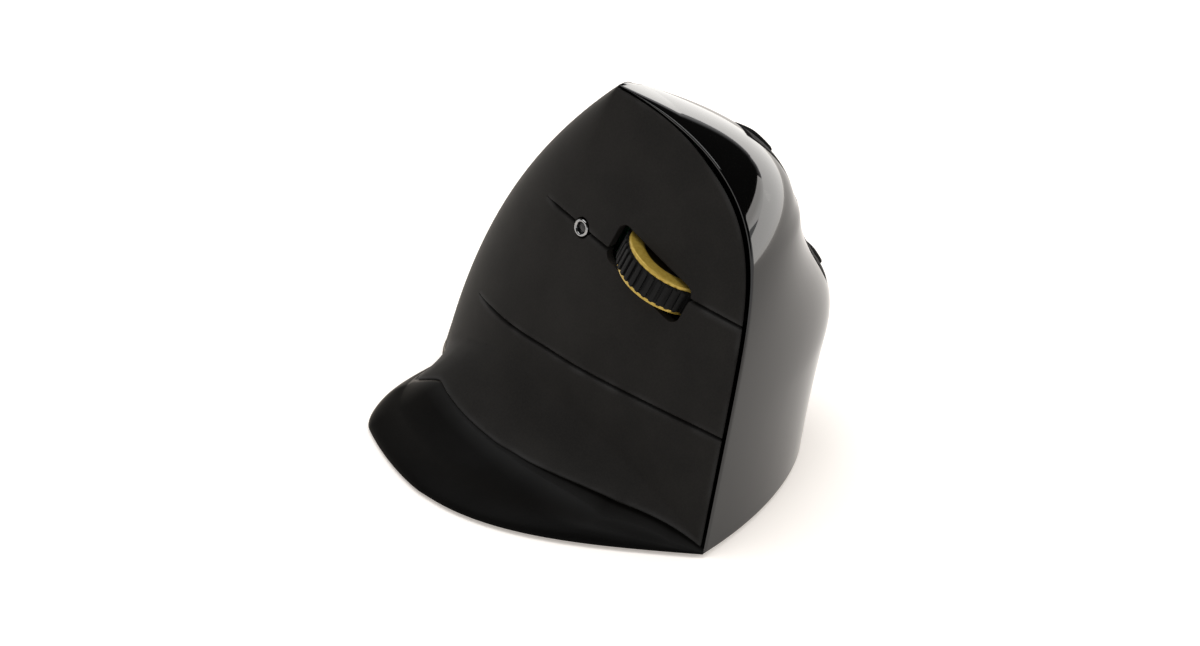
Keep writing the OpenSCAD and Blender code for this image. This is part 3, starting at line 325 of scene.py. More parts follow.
def grey(level, warm=0.0):
    return (level * (1 + warm), level, level * (1 - warm), 1)


# Finishes, with the sizes of grain in metres
moulded = {"cloud": 0.012, "wearAndHighlightLift": 3, "wornSmooth": 0.15, "unevenness": 0.12, "bump": 0.35,
           "sheenRoughness": 0.3, "sheenTint": (1.0, 0.86, 0.68, 1)}


def mouldedFinish(name, colour, lighter, roughness, grain, depth, specular, wearAndPaintedLight=0.0, sheen=0.0, patchy=1.0):
    f = Finish(bpy.data.materials.new(name))
    cloud, fine = f.noise(moulded["cloud"]), f.noise(grain, 3.0)
    tone = f.band(cloud) * 0.5 + f.band(fine) * 0.5
    edge = f.node("ShaderNodeAttribute", {"attribute_name": "rim"}, {}, "Fac")
    # Edges marked by the rim attribute are lightened and smoothed: real wear on most finishes, and on the lip mostly
    # a painted highlight along its top edge
    rubbed = edge * wearAndPaintedLight * (f.band(cloud, 0.35, 0.65) * patchy + (1 - patchy))
    base = f.blendColour(rubbed, f.blendColour(tone, colour, lighter), grey(lighter[1] * moulded["wearAndHighlightLift"]))
    rough = (fine - 0.5) * moulded["unevenness"] + roughness - rubbed * moulded["wornSmooth"]
    return f.surface(Base_Color=base, Roughness=rough, Specular_IOR_Level=specular, Sheen_Weight=sheen,
                     Sheen_Roughness=moulded["sheenRoughness"], Sheen_Tint=moulded["sheenTint"],
                     Normal=f.bump(fine, depth, moulded["bump"]))


softBlack = mouldedFinish("softBlack", grey(0.015, 0.05), grey(0.021, 0.07), roughness=0.5, grain=0.0004,
                          depth=0.00002, specular=0.03, wearAndPaintedLight=0.4, sheen=0.08)
# The lip's lightened top edge is partly wear, partly a painted highlight standing in for the light its rounded edge
# catches
lipBlack = mouldedFinish("lipBlack", grey(0.003), grey(0.005, 0.04), roughness=0.42, grain=0.0004,
                         depth=0.00002, specular=0.025, wearAndPaintedLight=0.9, sheen=0.45, patchy=0.2)
restBlack = mouldedFinish("restBlack", grey(0.004), grey(0.007), roughness=0.6, grain=0.0005,
                          depth=0.00003, specular=0.03, wearAndPaintedLight=0.3)
# Near-black for the groove trim, plugs and seam strip: black plastic, darkened further as painted shade in the
# groove
grooveShadeBlack = mouldedFinish("grooveShadeBlack", grey(0.0015), grey(0.003), roughness=0.6, grain=0.0005,
                            depth=0.00002, specular=0.03)
baseBlack = mouldedFinish("baseBlack", grey(0.014), grey(0.022), roughness=0.5, grain=0.0007,
                          depth=0.00004, specular=0.4, wearAndPaintedLight=0.3)
glideGrey = mouldedFinish("glideGrey", grey(0.05), grey(0.07), roughness=0.38, grain=0.0009,
                          depth=0.00001, specular=0.4, wearAndPaintedLight=0.5)
switchBlack = mouldedFinish("switchBlack", grey(0.012), grey(0.02), roughness=0.45, grain=0.0006,
                            depth=0.00002, specular=0.4)
knobRed = mouldedFinish("knobRed", (0.35, 0.02, 0.015, 1), (0.45, 0.035, 0.025, 1), roughness=0.4,
                        grain=0.0005, depth=0.00002, specular=0.5)
tyreRubber = mouldedFinish("tyreRubber", grey(0.006), grey(0.011), roughness=0.6, grain=0.0003,
                           depth=0.00003, specular=0.12, wearAndPaintedLight=0.6)


gloss = {"colour": grey(0.001), "lighter": grey(0.0018, 0.05), "cloud": 0.02, "hair": 0.0012,
         "hairStretch": (1, 1, 0.06), "rubs": (0.58, 0.75), "roughness": 0.04, "rubbed": 0.03, "ior": 1.58,
         "wave": 0.0002, "bump": 0.02}


def glossFinish():
    f = Finish(bpy.data.materials.new("glossBlack"))
    cloud = f.noise(gloss["cloud"])
    hair = f.noise(gloss["hair"], 4.0, gloss["hairStretch"])
    rubs = f.band(hair, *gloss["rubs"])
    base = f.blendColour(f.band(cloud), gloss["colour"], gloss["lighter"])
    return f.surface(Base_Color=base, Roughness=gloss["roughness"] + rubs * gloss["rubbed"], IOR=gloss["ior"],
                     Normal=f.bump(cloud, gloss["wave"], gloss["bump"]))


metal = {"cloud": 0.004, "brushed": (0.35, 0.65), "unevenness": 0.1, "depth": 0.00001, "bump": 0.3}


def metalFinish(name, colour, lighter, roughness, grain, stretch=(1, 1, 1), metallic=1.0, paintedRecessShade=None):
    f = Finish(bpy.data.materials.new(name))
    brushed, cloud = f.noise(grain, 4.0, stretch), f.noise(metal["cloud"])
    base = f.blendColour(f.band(brushed, *metal["brushed"]), colour, lighter)
    if paintedRecessShade:
        # Painted shade: inside the rim attribute the hub's recess takes this near-black colour in place of the metal
        base = f.blendColour(f.node("ShaderNodeAttribute", {"attribute_name": "rim"}, {}, "Fac"), paintedRecessShade, base)
    return f.surface(Base_Color=base, Metallic=metallic, Roughness=roughness + (cloud - 0.5) * metal["unevenness"],
                     Normal=f.bump(brushed, metal["depth"], metal["bump"]))


glossBlack = glossFinish()
# The hub's recess inside goldFrom is painted near-black, a painted shade standing in for the shadow of the slot's
# edge
gold = metalFinish("goldHub", (0.5, 0.33, 0.05, 1), (0.58, 0.41, 0.08, 1), roughness=0.32, grain=0.0008,
                   metallic=0.35, paintedRecessShade=(0.02, 0.014, 0.004, 1))
chrome = metalFinish("brightRing", grey(0.3), grey(0.36), roughness=0.14, grain=0.0008)
steel = metalFinish("springSteel", grey(0.42), grey(0.5), roughness=0.28, grain=0.0006, stretch=(1, 1, 0.1))


clearPlastic = {"cloud": 0.003, "lighter": 1.3, "unevenness": 0.02}


def lensFinish(name, colour, roughness, clear):
    f = Finish(bpy.data.materials.new(name))
    cloud = f.noise(clearPlastic["cloud"])
    base = f.blendColour(f.band(cloud), colour, tuple(c * clearPlastic["lighter"] for c in colour[:3]) + (1,))
    return f.surface(Base_Color=base, Roughness=roughness + (cloud - 0.5) * clearPlastic["unevenness"],
                     Transmission_Weight=clear)


darkLens = lensFinish("darkLens", (0.004, 0.004, 0.005, 1), roughness=0.06, clear=0.0)
clearLens = lensFinish("clearLens", (0.5, 0.55, 0.6, 1), roughness=0.08, clear=0.6)

board = {"colour": (0.008, 0.09, 0.035, 1), "lane": (0.03, 0.2, 0.08, 1), "laneLength": 0.006, "laneRow": 0.0016,
         "laneWidth": 0.00018, "laneSoft": 0.1, "stagger": 0.3, "roughness": 0.35, "unevenness": 0.1,
         "cloud": 0.002, "depth": 0.00003, "bump": 0.4}


def boardFinish():
    f = Finish(bpy.data.materials.new("boardGreen"))
    lanes = f.node("ShaderNodeTexBrick", {"offset": board["stagger"]},
                   {"Vector": f.place(), "Scale": 1, "Brick Width": board["laneLength"],
                    "Row Height": board["laneRow"], "Mortar Size": board["laneWidth"],
                    "Mortar Smooth": board["laneSoft"]}, "Fac")
    rough = board["roughness"] + f.noise(board["cloud"]) * board["unevenness"]
    return f.surface(Base_Color=f.blendColour(lanes, board["colour"], board["lane"]), Roughness=rough,
                     Normal=f.bump(lanes, board["depth"], board["bump"]))


cell = {"wrap": (0.05, 0.05, 0.055, 1), "lighter": (0.07, 0.07, 0.075, 1), "grain": 0.002, "capFrom": 0.009,
        "cap": (0.5, 0.28, 0.1, 1), "capMetal": 0.8, "roughness": 0.3, "unevenness": 0.1, "cloud": 0.003}


def cellFinish():
    f = Finish(bpy.data.materials.new("cellWrap"))
    along = f.node("ShaderNodeSeparateXYZ", {}, {0: f.node("ShaderNodeTexCoord", {}, {}, "Object")}, 1)
    cap = along > cell["capFrom"]
    wrap = f.blendColour(f.noise(cell["grain"]), cell["wrap"], cell["lighter"])
    return f.surface(Base_Color=f.blendColour(cap, wrap, cell["cap"]), Metallic=cap * cell["capMetal"],
                     Roughness=cell["roughness"] + f.noise(cell["cloud"]) * cell["unevenness"])


boardGreen, cellWrap = boardFinish(), cellFinish()
print("finishes made")


# Meshes
def objectFrom(name, points, faces, finish, attributes=None):
    mesh = bpy.data.meshes.new(name)
    mesh.from_pydata((np.asarray(points) / 1000).tolist(), [], faces)
    for key, values in (attributes or {}).items():
        mesh.attributes.new(key, "FLOAT", "POINT").data.foreach_set("value", np.asarray(values, np.float32))
    tidyMesh(mesh)
    mesh.materials.append(finish)
    piece = bpy.data.objects.new(name, mesh)
    scene.collection.objects.link(piece)
    return piece


def tidyMesh(mesh):
    work = bmesh.new()
    work.from_mesh(mesh)
    bmesh.ops.remove_doubles(work, verts=work.verts, dist=1e-7)
    bmesh.ops.dissolve_degenerate(work, edges=work.edges, dist=1e-8)
    if work.calc_volume(signed=True) < 0:
        bmesh.ops.reverse_faces(work, faces=work.faces)
    work.to_mesh(mesh)
    work.free()
    smoothMesh(mesh)


def smoothMesh(mesh, angle=35):
    mesh.polygons.foreach_set("use_smooth", [True] * len(mesh.polygons))
    mesh.set_sharp_from_angle(angle=math.radians(angle))


# Puts what the modifiers make into the piece's own mesh
def bakeModifiers(piece):
    graph = bpy.context.evaluated_depsgraph_get()
    mesh = bpy.data.meshes.new_from_object(piece.evaluated_get(graph))
    piece.modifiers.clear()
    piece.data = mesh
    return mesh


def gridNormals(points):
    across = np.gradient(points, axis=1)
    up = np.gradient(points, axis=0)
    n = np.cross(across, up)
    return n / np.maximum(np.linalg.norm(n, axis=-1, keepdims=True), 1e-12)


wornWidth, stepClear = 1.2, 1.3


# A wall between two grids of points, with its free edges rounded; cells outside keep are left out
def shell(name, face, back, finish, keep=None, rounding=0.3, plain=()):
    rows, cols = face.shape[:2]
    keep = np.ones((rows - 1, cols - 1), bool) if keep is None else keep
    padded = np.zeros((rows + 1, cols + 1), bool)
    padded[1:-1, 1:-1] = keep
    corner = np.stack([padded[:-1, :-1], padded[:-1, 1:], padded[1:, :-1], padded[1:, 1:]])
    free = corner.any(0) & ~corner.all(0)
    rounded = free.copy()
    for side in plain:
        rounded[{"low": np.s_[0, 1:-1], "top": np.s_[-1, 1:-1], "first": np.s_[1:-1, 0],
                 "last": np.s_[1:-1, -1]}[side]] = False
    edge = KDTree(int(rounded.sum()))
    for k, p in enumerate(face[rounded]):
        edge.insert(p, k)
    edge.balance()
    gap = np.array([edge.find(p)[2] for p in face.reshape(-1, 3)]).reshape(rows, cols)
    inset = ramp(1 - gap / rounding)
    drop = rounding * (1 - np.sqrt(1 - inset ** 2))
    out = gridNormals(face)
    out *= np.sign(np.sum(out * (face - back), -1).mean())
    face = face - out * drop[..., None]
    index = np.arange(rows * cols).reshape(rows, cols)
    under = index + rows * cols
    quads = []
    for j, i in np.argwhere(keep):
        a, b, c, d = index[j, i], index[j, i + 1], index[j + 1, i + 1], index[j + 1, i]
        e, f, g, h = under[j, i], under[j, i + 1], under[j + 1, i + 1], under[j + 1, i]
        quads += [(a, b, c, d), (e, h, g, f)]
        if not padded[j, i + 1]:
            quads.append((b, a, e, f))
        if not padded[j + 1, i + 2]:
            quads.append((c, b, f, g))
        if not padded[j + 2, i + 1]:
            quads.append((d, c, g, h))
        if not padded[j + 1, i]:
            quads.append((a, d, h, e))
    used = np.unique(np.array(quads))
    renumber = np.zeros(2 * rows * cols, int)
    renumber[used] = np.arange(len(used))
    points = np.concatenate([face.reshape(-1, 3), back.reshape(-1, 3)])[used]
    rim = np.concatenate([ramp(1 - gap / wornWidth).ravel(), np.zeros(rows * cols)])[used]
    return objectFrom(name, points, [tuple(renumber[list(q)]) for q in quads], finish, {"rim": rim})


# Even steps from low to high, with the fine steps of a rounding at either end
def spread(low, high, count, lowSteps=(), highSteps=()):
    regular = np.linspace(low, high, count + 1)[1:-1]
    near = [low + s for s in (0, *lowSteps)] + [high - s for s in (0, *highSteps)]
    reach = [max([abs(s) for s in steps], default=0) for steps in (lowSteps, highSteps)]
    clear = (regular > low + reach[0] * stepClear) & (regular < high - reach[1] * stepClear)
    return np.sort(np.concatenate([near, regular[clear]]))


roundSteps = (0.04, 0.1, 0.18, 0.3, 0.55)
seamPasses = 8  # rounds in which an edge's height and station settle on each other


# Steps of the rounding as shares of a span in millimetres
def nearSteps(span):
    return [s / span for s in roundSteps]


flaps = {
    "index": {"columns": 100, "rows": 60, "top": 79.35},
    "middle": {"columns": 100, "rows": 50},
    "ring": {"columns": 110, "rows": 60},
    "length": 50, "rise": 24, "rounding": 0.3, "taper": 0.07}


# Finger flap from the groove at the crease back to its living hinge, where its slits close up
def fingerFlap(name, lowEdge, highEdge, count):
    us = spread(0, 1, count["columns"], nearSteps(flaps["length"]))
    vs = spread(0, 1, count["rows"], nearSteps(flaps["rise"]), nearSteps(flaps["rise"]))
    shut = ease((1 - us) / flaps["taper"])

    def edgeHeight(rule):
        z = rule(us, shut)
        for _ in range(seamPasses):
            a = mix(creaseSet(z, 0, height), hingeAt(z), us)
            z = rule(a, shut)
        return z

    low, high = edgeHeight(lowEdge), edgeHeight(highEdge)
    z = mix(low[None, :], high[None, :], vs[:, None])
    hinge = hingeAt(z)
    face = fingerSkin(mix(creaseSet(z, 0, height), hinge, us[None, :]), z)
    back = fingerInside(mix(creaseSet(sunk(z, wall), wall, height - wall), hinge, us[None, :]), z)
    piece = shell(name, face, back, softBlack, rounding=flaps["rounding"], plain=("last",))
    return piece, face[:, -1]


def finishFlap(piece, hingeLine, node):
    start = Vector(hingeLine[np.argmax(hingeLine[:, 1])] / 1000)
    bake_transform(piece)
    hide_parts(node)


indexFlap, indexHinge = fingerFlap("indexFlap", lambda a, s: upperSlit(a) + slits["half"] * s,
                                   lambda a, s: 0 * a + flaps["index"]["top"], flaps["index"])
middleFlap, middleHinge = fingerFlap("middleFlap", lambda a, s: lowerSlit(a) + slits["half"] * s,
                                     lambda a, s: upperSlit(a) - slits["half"] * s, flaps["middle"])
ringFlap, ringHinge = fingerFlap("ringFlap", lambda a, s: lipSeam(a) + lipGap(a),
                                 lambda a, s: lowerSlit(a) - slits["half"] * s, flaps["ring"])
print("finger flaps made")

palm = {"columns": 110, "rows": 150, "end": 1.997, "crowd": 1.5, "length": 45, "rise": 75, "rounding": 0.3}


def palmShell():
    us = spread(0, 1, palm["columns"], (), nearSteps(palm["length"]))
    vs = spread(0, 1, palm["rows"], nearSteps(palm["rise"]), nearSteps(palm["rise"]))
    low = lipSeam(1 + us) + halfGap
    for _ in range(seamPasses):
        low = lipSeam(mix(hingeAt(low), palm["end"], us ** palm["crowd"])) + halfGap
    z = mix(low[None, :], flaps["index"]["top"], vs[:, None])
    a = mix(hingeAt(z), palm["end"], us[None, :] ** palm["crowd"])
    piece = shell("palmShell", fingerSkin(a, z), fingerInside(a, z), softBlack, rounding=palm["rounding"],
                  plain=("first",))
    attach(piece, "body")
    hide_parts("palm_shell")


palmShell()

rim = {"start": 0.002, "cornerEnd": 1.4, "least": 0.06, "shelf": 4.0, "shelfEnd": 1.9, "shelfFade": 0.3,
       "finger": 100, "corner": 120, "heel": 50, "flank": 26, "flankFrom": 0.1, "flankPower": 0.8, "roll": 14,
       "rounding": 0.3, "roundShare": 0.8, "wearAndHighlightShare": 0.25, "near": (0, 0.01, 0.025, 0.045, 0.07)}


# Lip swept round the foot of the finger side and the heel
def lipSkirt():
    stations = np.concatenate([np.linspace(rim["start"], 1, rim["finger"]),
                               np.linspace(1, rim["cornerEnd"], rim["corner"])[1:],
                               np.linspace(rim["cornerEnd"], palm["end"], rim["heel"])[1:]])[:, None]
    edge, flat, roll = edgeAt(stations), flatAt(stations), rollAt(stations)
    low = body["foot"] + edge
    top = np.maximum(lipSeam(stations) - lipGap(stations), low + rim["least"])
    flank = np.linspace(rim["flankFrom"], 1, rim["flank"]) ** rim["flankPower"]
    down = np.concatenate([rim["near"], flank])[None, :]
    zFlank = mix(top, low, down)
    turn = np.linspace(0, math.pi / 2, rim["roll"] + 1)[None, 1:]
    dist = np.concatenate([flare(stations, zFlank), flat + roll * np.sin(turn)], 1)
    z = np.concatenate([zFlank, body["foot"] + edge * np.cos(turn)], 1)
    soft = np.minimum(rim["rounding"], rim["roundShare"] * (top - low))
    fall = ramp(1 - (top - z) / soft)
    dist = dist - soft * (1 - np.sqrt(1 - fall ** 2))
    outside = sidePoint(stations + 0 * z, z, 0.0, height, dist + swell(stations, z))
    foot = np.full_like(stations, body["foot"])
    inside = sidePoint(stations, foot, lip["wall"], height, flare(stations, top))
    shelf = rim["shelf"] * ease((rim["shelfEnd"] - stations) / rim["shelfFade"])  # closes the slit from below
    deep = lip["wall"] + shelf
    under = sidePoint(stations, foot + rim["least"] / 3, deep, height, flare(stations, top))
    upper = under.copy()
    upper[..., 2] = np.maximum(top - halfGap, body["foot"] + rim["least"] / 2)
    rings = np.concatenate([outside, inside, under, upper], 1)
    count, per = rings.shape[:2]
    index = np.arange(count * per).reshape(count, per)
    right = np.roll(index, -1, 1)
    faces = [(index[j, i], right[j, i], right[j + 1, i], index[j + 1, i])
             for j in range(count - 1) for i in range(per)]
    faces += [tuple(index[0][::-1]), tuple(index[-1])]
    # Rim attribute over the top quarter of the lip: lipBlack lightens it as wear and as a painted highlight under
    # the seam
    wearAndHighlightDepth = rim["wearAndHighlightShare"] * (top - body["foot"])
    wearAndPaintedLight = np.concatenate([ramp(1 - (top - z) / wearAndHighlightDepth), np.zeros((count, 3))], 1)
    piece = objectFrom("lipSkirt", rings.reshape(-1, 3), faces, lipBlack, {"rim": wearAndPaintedLight.ravel()})
    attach(piece, "body")
    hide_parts("lip_skirt")


lipSkirt()
print("palm shell and lip made")

cover = {"start": 2.008, "restLow": 36.0, "restHigh": 73.0, "restFront": 3.3, "sideColumns": 60,
         "noseColumns": 90, "stationLength": 60, "footRows": 30, "restRows": 36, "ridgeRows": 60, "ridgeFrom": 0.7,
         "rounding": 0.4, "ridgeShare": 0.08, "ridgeLeast": 0.02}


# Gloss cover of the cheek, nose and ridge, left open for the thumb rest
def frontCover():
    low, high, front = cover["restLow"], cover["restHigh"], cover["restFront"]
    fine = nearSteps(cover["stationLength"])
    a = np.concatenate([spread(cover["start"], front, cover["sideColumns"], fine)[:-1],
                        spread(front, 4, cover["noseColumns"], fine, fine)])
    steps = np.linspace(dome(high, height, "crease"), 0, cover["ridgeRows"])  # even along the ridge
    climb = domeHeight(steps, height, "crease")
    z = np.concatenate([spread(body["foot"], low, cover["footRows"], roundSteps, roundSteps)[:-1],
                        spread(low, high, cover["restRows"]), high + np.array(roundSteps),
                        climb[climb > high + cover["ridgeFrom"]]])
    midA, midZ = (a[:-1] + a[1:]) / 2, (z[:-1] + z[1:]) / 2
    opening = (midA < front)[None, :] & ((midZ > low) & (midZ < high))[:, None]
    aa, zz = np.meshgrid(a, z)
    across = sideX(z, 0) - thumbX(z, 0, height)  # the edge sharpens where the ridge runs out at the apex
    rounding = np.minimum(cover["rounding"], cover["ridgeShare"] * across + cover["ridgeLeast"])[:, None]
    piece = shell("frontCover", thumbSkin(aa, zz), thumbInside(aa, zz), glossBlack, keep=~opening,
                  rounding=rounding, plain=("top",))
    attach(piece, "body")
    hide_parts("front_cover")


frontCover()

plug = {"stations": (0.0, 0.024), "low": 0.86, "high": 3.6, "face": 0.9, "back": 2.4, "columns": 5, "rows": 8,
        "rounding": 0.1}


# Foot of the groove at the nose, set back behind the edges on either side
def nosePlug():
    aa, zz = np.meshgrid(np.linspace(*plug["stations"], plug["columns"]),
                         np.linspace(plug["low"], plug["high"], plug["rows"]))
    face, back = fingerSkin(aa, zz, plug["face"]), fingerSkin(aa, zz, plug["back"])
    piece = shell("nosePlug", face, back, grooveShadeBlack, rounding=plug["rounding"])
    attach(piece, "body")


nosePlug()

ridge = {"span": (0.5, 9.0), "top": 79.55, "low": 78.75, "lowSet": 1.3, "face": 0.9, "back": 1.4, "columns": 40,
         "rows": 5, "rounding": 0.05}


# Floor of the groove along the ridge, above the trim
def ridgePlug():
    ys = np.linspace(*ridge["span"], ridge["columns"])

    def line(w, top):
        share = ramp((ys - body["apexY"]) / (noseY - w - body["apexY"] - body["rake"] * top))
        return domeHeight(share, top, "crease")

    up = np.linspace(0, 1, ridge["rows"])[:, None]
    z = mix(line(ridge["lowSet"], ridge["low"]), line(ridge["face"], ridge["top"]), up)
    face, back = (np.stack([sideX(z, w), ys + 0 * z, z], -1) for w in (ridge["face"], ridge["back"]))
    piece = shell("ridgePlug", face, back, grooveShadeBlack, rounding=ridge["rounding"])
    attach(piece, "body")


ridgePlug()

strip = {"reach": 0.014, "low": 0.85, "high": 77.0, "face": 0.45, "back": 2.6, "columns": 9, "rows": 60,
         "rounding": 0.1}


# Tongue in the seam of palm shell and thumb side, so that no light comes through
def seamStrip():
    aa, zz = np.meshgrid(np.linspace(2 - strip["reach"], 2 + strip["reach"], strip["columns"]),
                         np.linspace(strip["low"], strip["high"], strip["rows"]))

    def skin(w):
        z = sunk(zz, w)
        return np.where((aa <= 2)[..., None], fingerSkin(aa, z, w, height - w), thumbSkin(aa, z, w, height - w))

    piece = shell("seamStrip", skin(strip["face"]), skin(strip["back"]), grooveShadeBlack, rounding=strip["rounding"])
    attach(piece, "body")


seamStrip()

rest = {"set": 0.012, "upperKey": (2.45, 3.1, 66.8, 72.0), "lowerKey": (2.72, 3.2, 37.4, 43.0),
        "keyBack": 0.024, "keySet": 0.017, "keyRoom": 0.3, "proud": 0.7, "floor": 1.6, "rounding": 0.3,
        "keyRounding": 0.6, "columns": 70, "rows": 60, "stationLength": 45, "clear": 1.2,
        "keyColumns": 40, "keyRows": 16, "keyStep": 2, "keyTop": 1.5}


def thumbRest():
    def lines(low, high, cuts, count, length):
        steps = nearSteps(length)
        extra = [c + side * s for c in cuts for s in (0, *steps) for side in (-1, 1)]
        regular = spread(low, high, count, steps, steps)
        away = np.min(np.abs(regular[:, None] - np.array(cuts)[None, :]), 1) > rest["clear"] * steps[-1]
        return np.sort(np.concatenate([regular[away], extra]))

    u, l = rest["upperKey"], rest["lowerKey"]
    low, high = cover["restLow"] + body["seam"], cover["restHigh"] - body["seam"]
    a = lines(cover["start"], cover["restFront"] - rest["set"], [u[0], u[1], l[0], l[1]],
              rest["columns"], rest["stationLength"])
    z = lines(low, high, [u[2], l[2], l[3], u[3]], rest["rows"], 1)
    z = z[(z >= low) & (z <= high)]
    midA, midZ = (a[:-1] + a[1:]) / 2, (z[:-1] + z[1:]) / 2
    keep = np.ones((len(z) - 1, len(a) - 1), bool)
    for w in (u, l):
        keep &= ~(((midA > w[0]) & (midA < w[1]))[None, :] & ((midZ > w[2]) & (midZ < w[3]))[:, None])
    aa, zz = np.meshgrid(a, z)
    piece = shell("thumbRest", thumbSkin(aa, zz), thumbInside(aa, zz), restBlack, keep=keep,
                  rounding=rest["rounding"])
    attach(piece, "body")
    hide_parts("thumb_rest")


def thumbKey(name, window, node, bodyName):
    steps = [s * rest["keyStep"] for s in roundSteps[:4]]
    along = [s / rest["stationLength"] for s in steps]
    a = spread(window[0] + rest["keyBack"], window[1] - rest["keySet"], rest["keyColumns"], along, along)
    z = spread(window[2] + body["seam"] + rest["keyRoom"], window[3] - rest["keyTop"] * body["seam"],
               rest["keyRows"], steps, steps)
    aa, zz = np.meshgrid(a, z)
    piece = shell(name, thumbSkin(aa, zz, -rest["proud"], height + rest["proud"]),
                  thumbInside(aa, zz, rest["floor"]), restBlack, rounding=rest["keyRounding"])
    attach(piece, bodyName)
    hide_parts(node)


thumbRest()
thumbKey("thumbKeyUpper", rest["upperKey"], "thumb_button_upper", "thumb_key_upper")
thumbKey("thumbKeyLower", rest["lowerKey"], "thumb_button_lower", "thumb_key_lower")
print("gloss cover, thumb rest and keys made")


# Wheel: frame on the finger side, then lathed hub, tyre band and ribs
wheel = {"diameter": 23.0, "hub": 18.4, "flange": 21.6, "flangeWidth": 0.8, "width": 7.0, "axle": 2.5,
         "proud": 4.0, "tilt": 17.0, "y": 17.8, "z": 49.4, "slotGap": 1.15, "slotCorner": 2.2,
         "cutDepth": 30, "ribs": 40, "ribHeight": 0.55, "ribShare": 0.62, "ribSet": 0.1, "ribLevel": 2,
         "ribCrease": 0.55, "edge": 0.3, "sharpAngle": 40}
hubFace = {"sunk": 0.5, "slope": ((6.6, 0.5), (7.3, 0.42), (7.8, 0.1), (8.2, 0.0)), "goldFrom": 7.5}
lamp = {"station": 0.9, "hole": 2.3, "outside": 3.8, "bore": 2.4, "proud": 0.4, "depth": 3.0, "sunk": 0.25,
        "play": 0.04, "edge": 0.2, "crown": 0.3}
onFace = Matrix.Translation((faceX, 0, 0)) @ Matrix.Rotation(math.radians(-body["lean"]), 4, "Y")


def skinAt(y, z):
    z1 = np.array(z, float)
    a = (creaseY(z1, 0, height) - y) / (creaseY(z1, 0, height) - turnY(z1, height))
    return fingerSkin(a, z1)


def onFacePlace(p):
    return onFace.inverted() @ Vector(p)


wheelSpot = onFacePlace(skinAt(wheel["y"], wheel["z"]))
wheelDeep = wheelSpot.x + wheel["proud"] - wheel["diameter"] / 2
wheelFrame = (onFace @ Matrix.Translation((wheelDeep, wheel["y"], wheelSpot.z))
              @ Matrix.Rotation(math.radians(-wheel["tilt"]), 4, "X"))
lampSkin = fingerSkin(np.array(lamp["station"]), np.array(upperSlit(lamp["station"])))
lampSpot = onFacePlace(lampSkin)
lampFrame = onFace @ Matrix.Translation((0, lampSkin[1], lampSpot.z)) @ Matrix.Rotation(math.pi / 2, 4, "Y")


def moved(points, place):
    m = np.array(place)
    return np.asarray(points) @ m[:3, :3].T + m[:3, 3]


# Closed profile turned about the z axis of its place; the rim attribute is 1 outside the radius rimFrom
def lathe(name, profile, place, finish, count=128, rimFrom=math.inf):
    turn = np.linspace(0, 2 * math.pi, count, endpoint=False)
    ring = np.array(profile, float)
    points = np.stack([ring[None, :, 0] * np.cos(turn)[:, None], ring[None, :, 0] * np.sin(turn)[:, None],
                       ring[None, :, 1] + 0 * turn[:, None]], -1)
    n = len(ring)
    faces = [(j * n + i, ((j + 1) % count) * n + i, ((j + 1) % count) * n + (i + 1) % n, j * n + (i + 1) % n)
             for j in range(count) for i in range(n)]
    wearAndPaintedLight = np.tile(ramp((ring[:, 0] - rimFrom) * 4), count)
    return objectFrom(name, moved(points.reshape(-1, 3), place), faces, finish, {"rim": wearAndPaintedLight})


def arcPoints(cx, cy, r, start, end, count=6):
    return [(cx + r * math.cos(math.radians(t)), cy + r * math.sin(math.radians(t)))
            for t in np.linspace(start, end, count)]


# The wheel's slot and the indicator's hole
def cutFlaps():
    slotDeep = wheel["diameter"] / 2 - wheel["proud"] - wall
    length = 2 * (math.sqrt((wheel["diameter"] / 2) ** 2 - slotDeep ** 2) + wheel["slotGap"])
    width, r = wheel["width"] + 2 * wheel["slotGap"], wheel["slotCorner"]
    outline = [p for sx, sy, t in ((1, 1, 0), (-1, 1, 90), (-1, -1, 180), (1, -1, 270))
               for p in arcPoints(sx * (length / 2 - r), sy * (width / 2 - r), r, t, t + 90, 8)]
    slotFrame = wheelFrame @ Matrix.Rotation(math.pi / 2, 4, "Z") @ Matrix.Rotation(math.pi / 2, 4, "X")
    slot = prism("slotCutter", outline, slotFrame, wheel["cutDepth"])
    hole = prism("lampCutter", arcPoints(0, 0, lamp["hole"], 0, 352.5, 48), lampFrame, wheel["cutDepth"])
    for flap in (indexFlap, middleFlap):
        for cutter in (slot, hole):
            cut = flap.modifiers.new("cut", "BOOLEAN")
            cut.operation, cut.object, cut.solver = "DIFFERENCE", cutter, "EXACT"
        tidyMesh(bakeModifiers(flap))
    for cutter in (slot, hole):
        bpy.data.objects.remove(cutter)


def prism(name, outline, place, depth):
    n = len(outline)
    flat = np.array(outline)
    points = np.concatenate([np.column_stack([flat, np.full(n, end * depth / 2)]) for end in (-1, 1)])
    faces = [(i, (i + 1) % n, n + (i + 1) % n, n + i) for i in range(n)]
    faces += [tuple(range(n))[::-1], tuple(range(n, 2 * n))]
    return objectFrom(name, moved(points, place), faces, softBlack)


cutFlaps()
finishFlap(indexFlap, indexHinge, "index_button")
finishFlap(middleFlap, middleHinge, "middle_button")
finishFlap(ringFlap, ringHinge, "ring_button")


def hubProfile():
    half, r = wheel["width"] / 2, wheel["flange"] / 2
    tread, edge = half - wheel["flangeWidth"], wheel["edge"]
    side = [(wheel["axle"] / 2, half - hubFace["sunk"])] + [(x, half - y) for x, y in hubFace["slope"]]
    side += [(r - edge, half)] + arcPoints(r - edge, half - edge, edge, 75, 0, 5)
    side += [(r, tread), (wheel["hub"] / 2, tread)]
    return [(x, -y) for x, y in side] + side[::-1]


goldHub = lathe("goldHub", hubProfile(), wheelFrame, gold, rimFrom=hubFace["goldFrom"])
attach(goldHub, "wheel")
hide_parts("wheel_hub")


def inputSocket(tree, name, kind, value):
    socket = tree.interface.new_socket(name, in_out="INPUT", socket_type=kind)
    if value is not None:
        socket.default_value = value


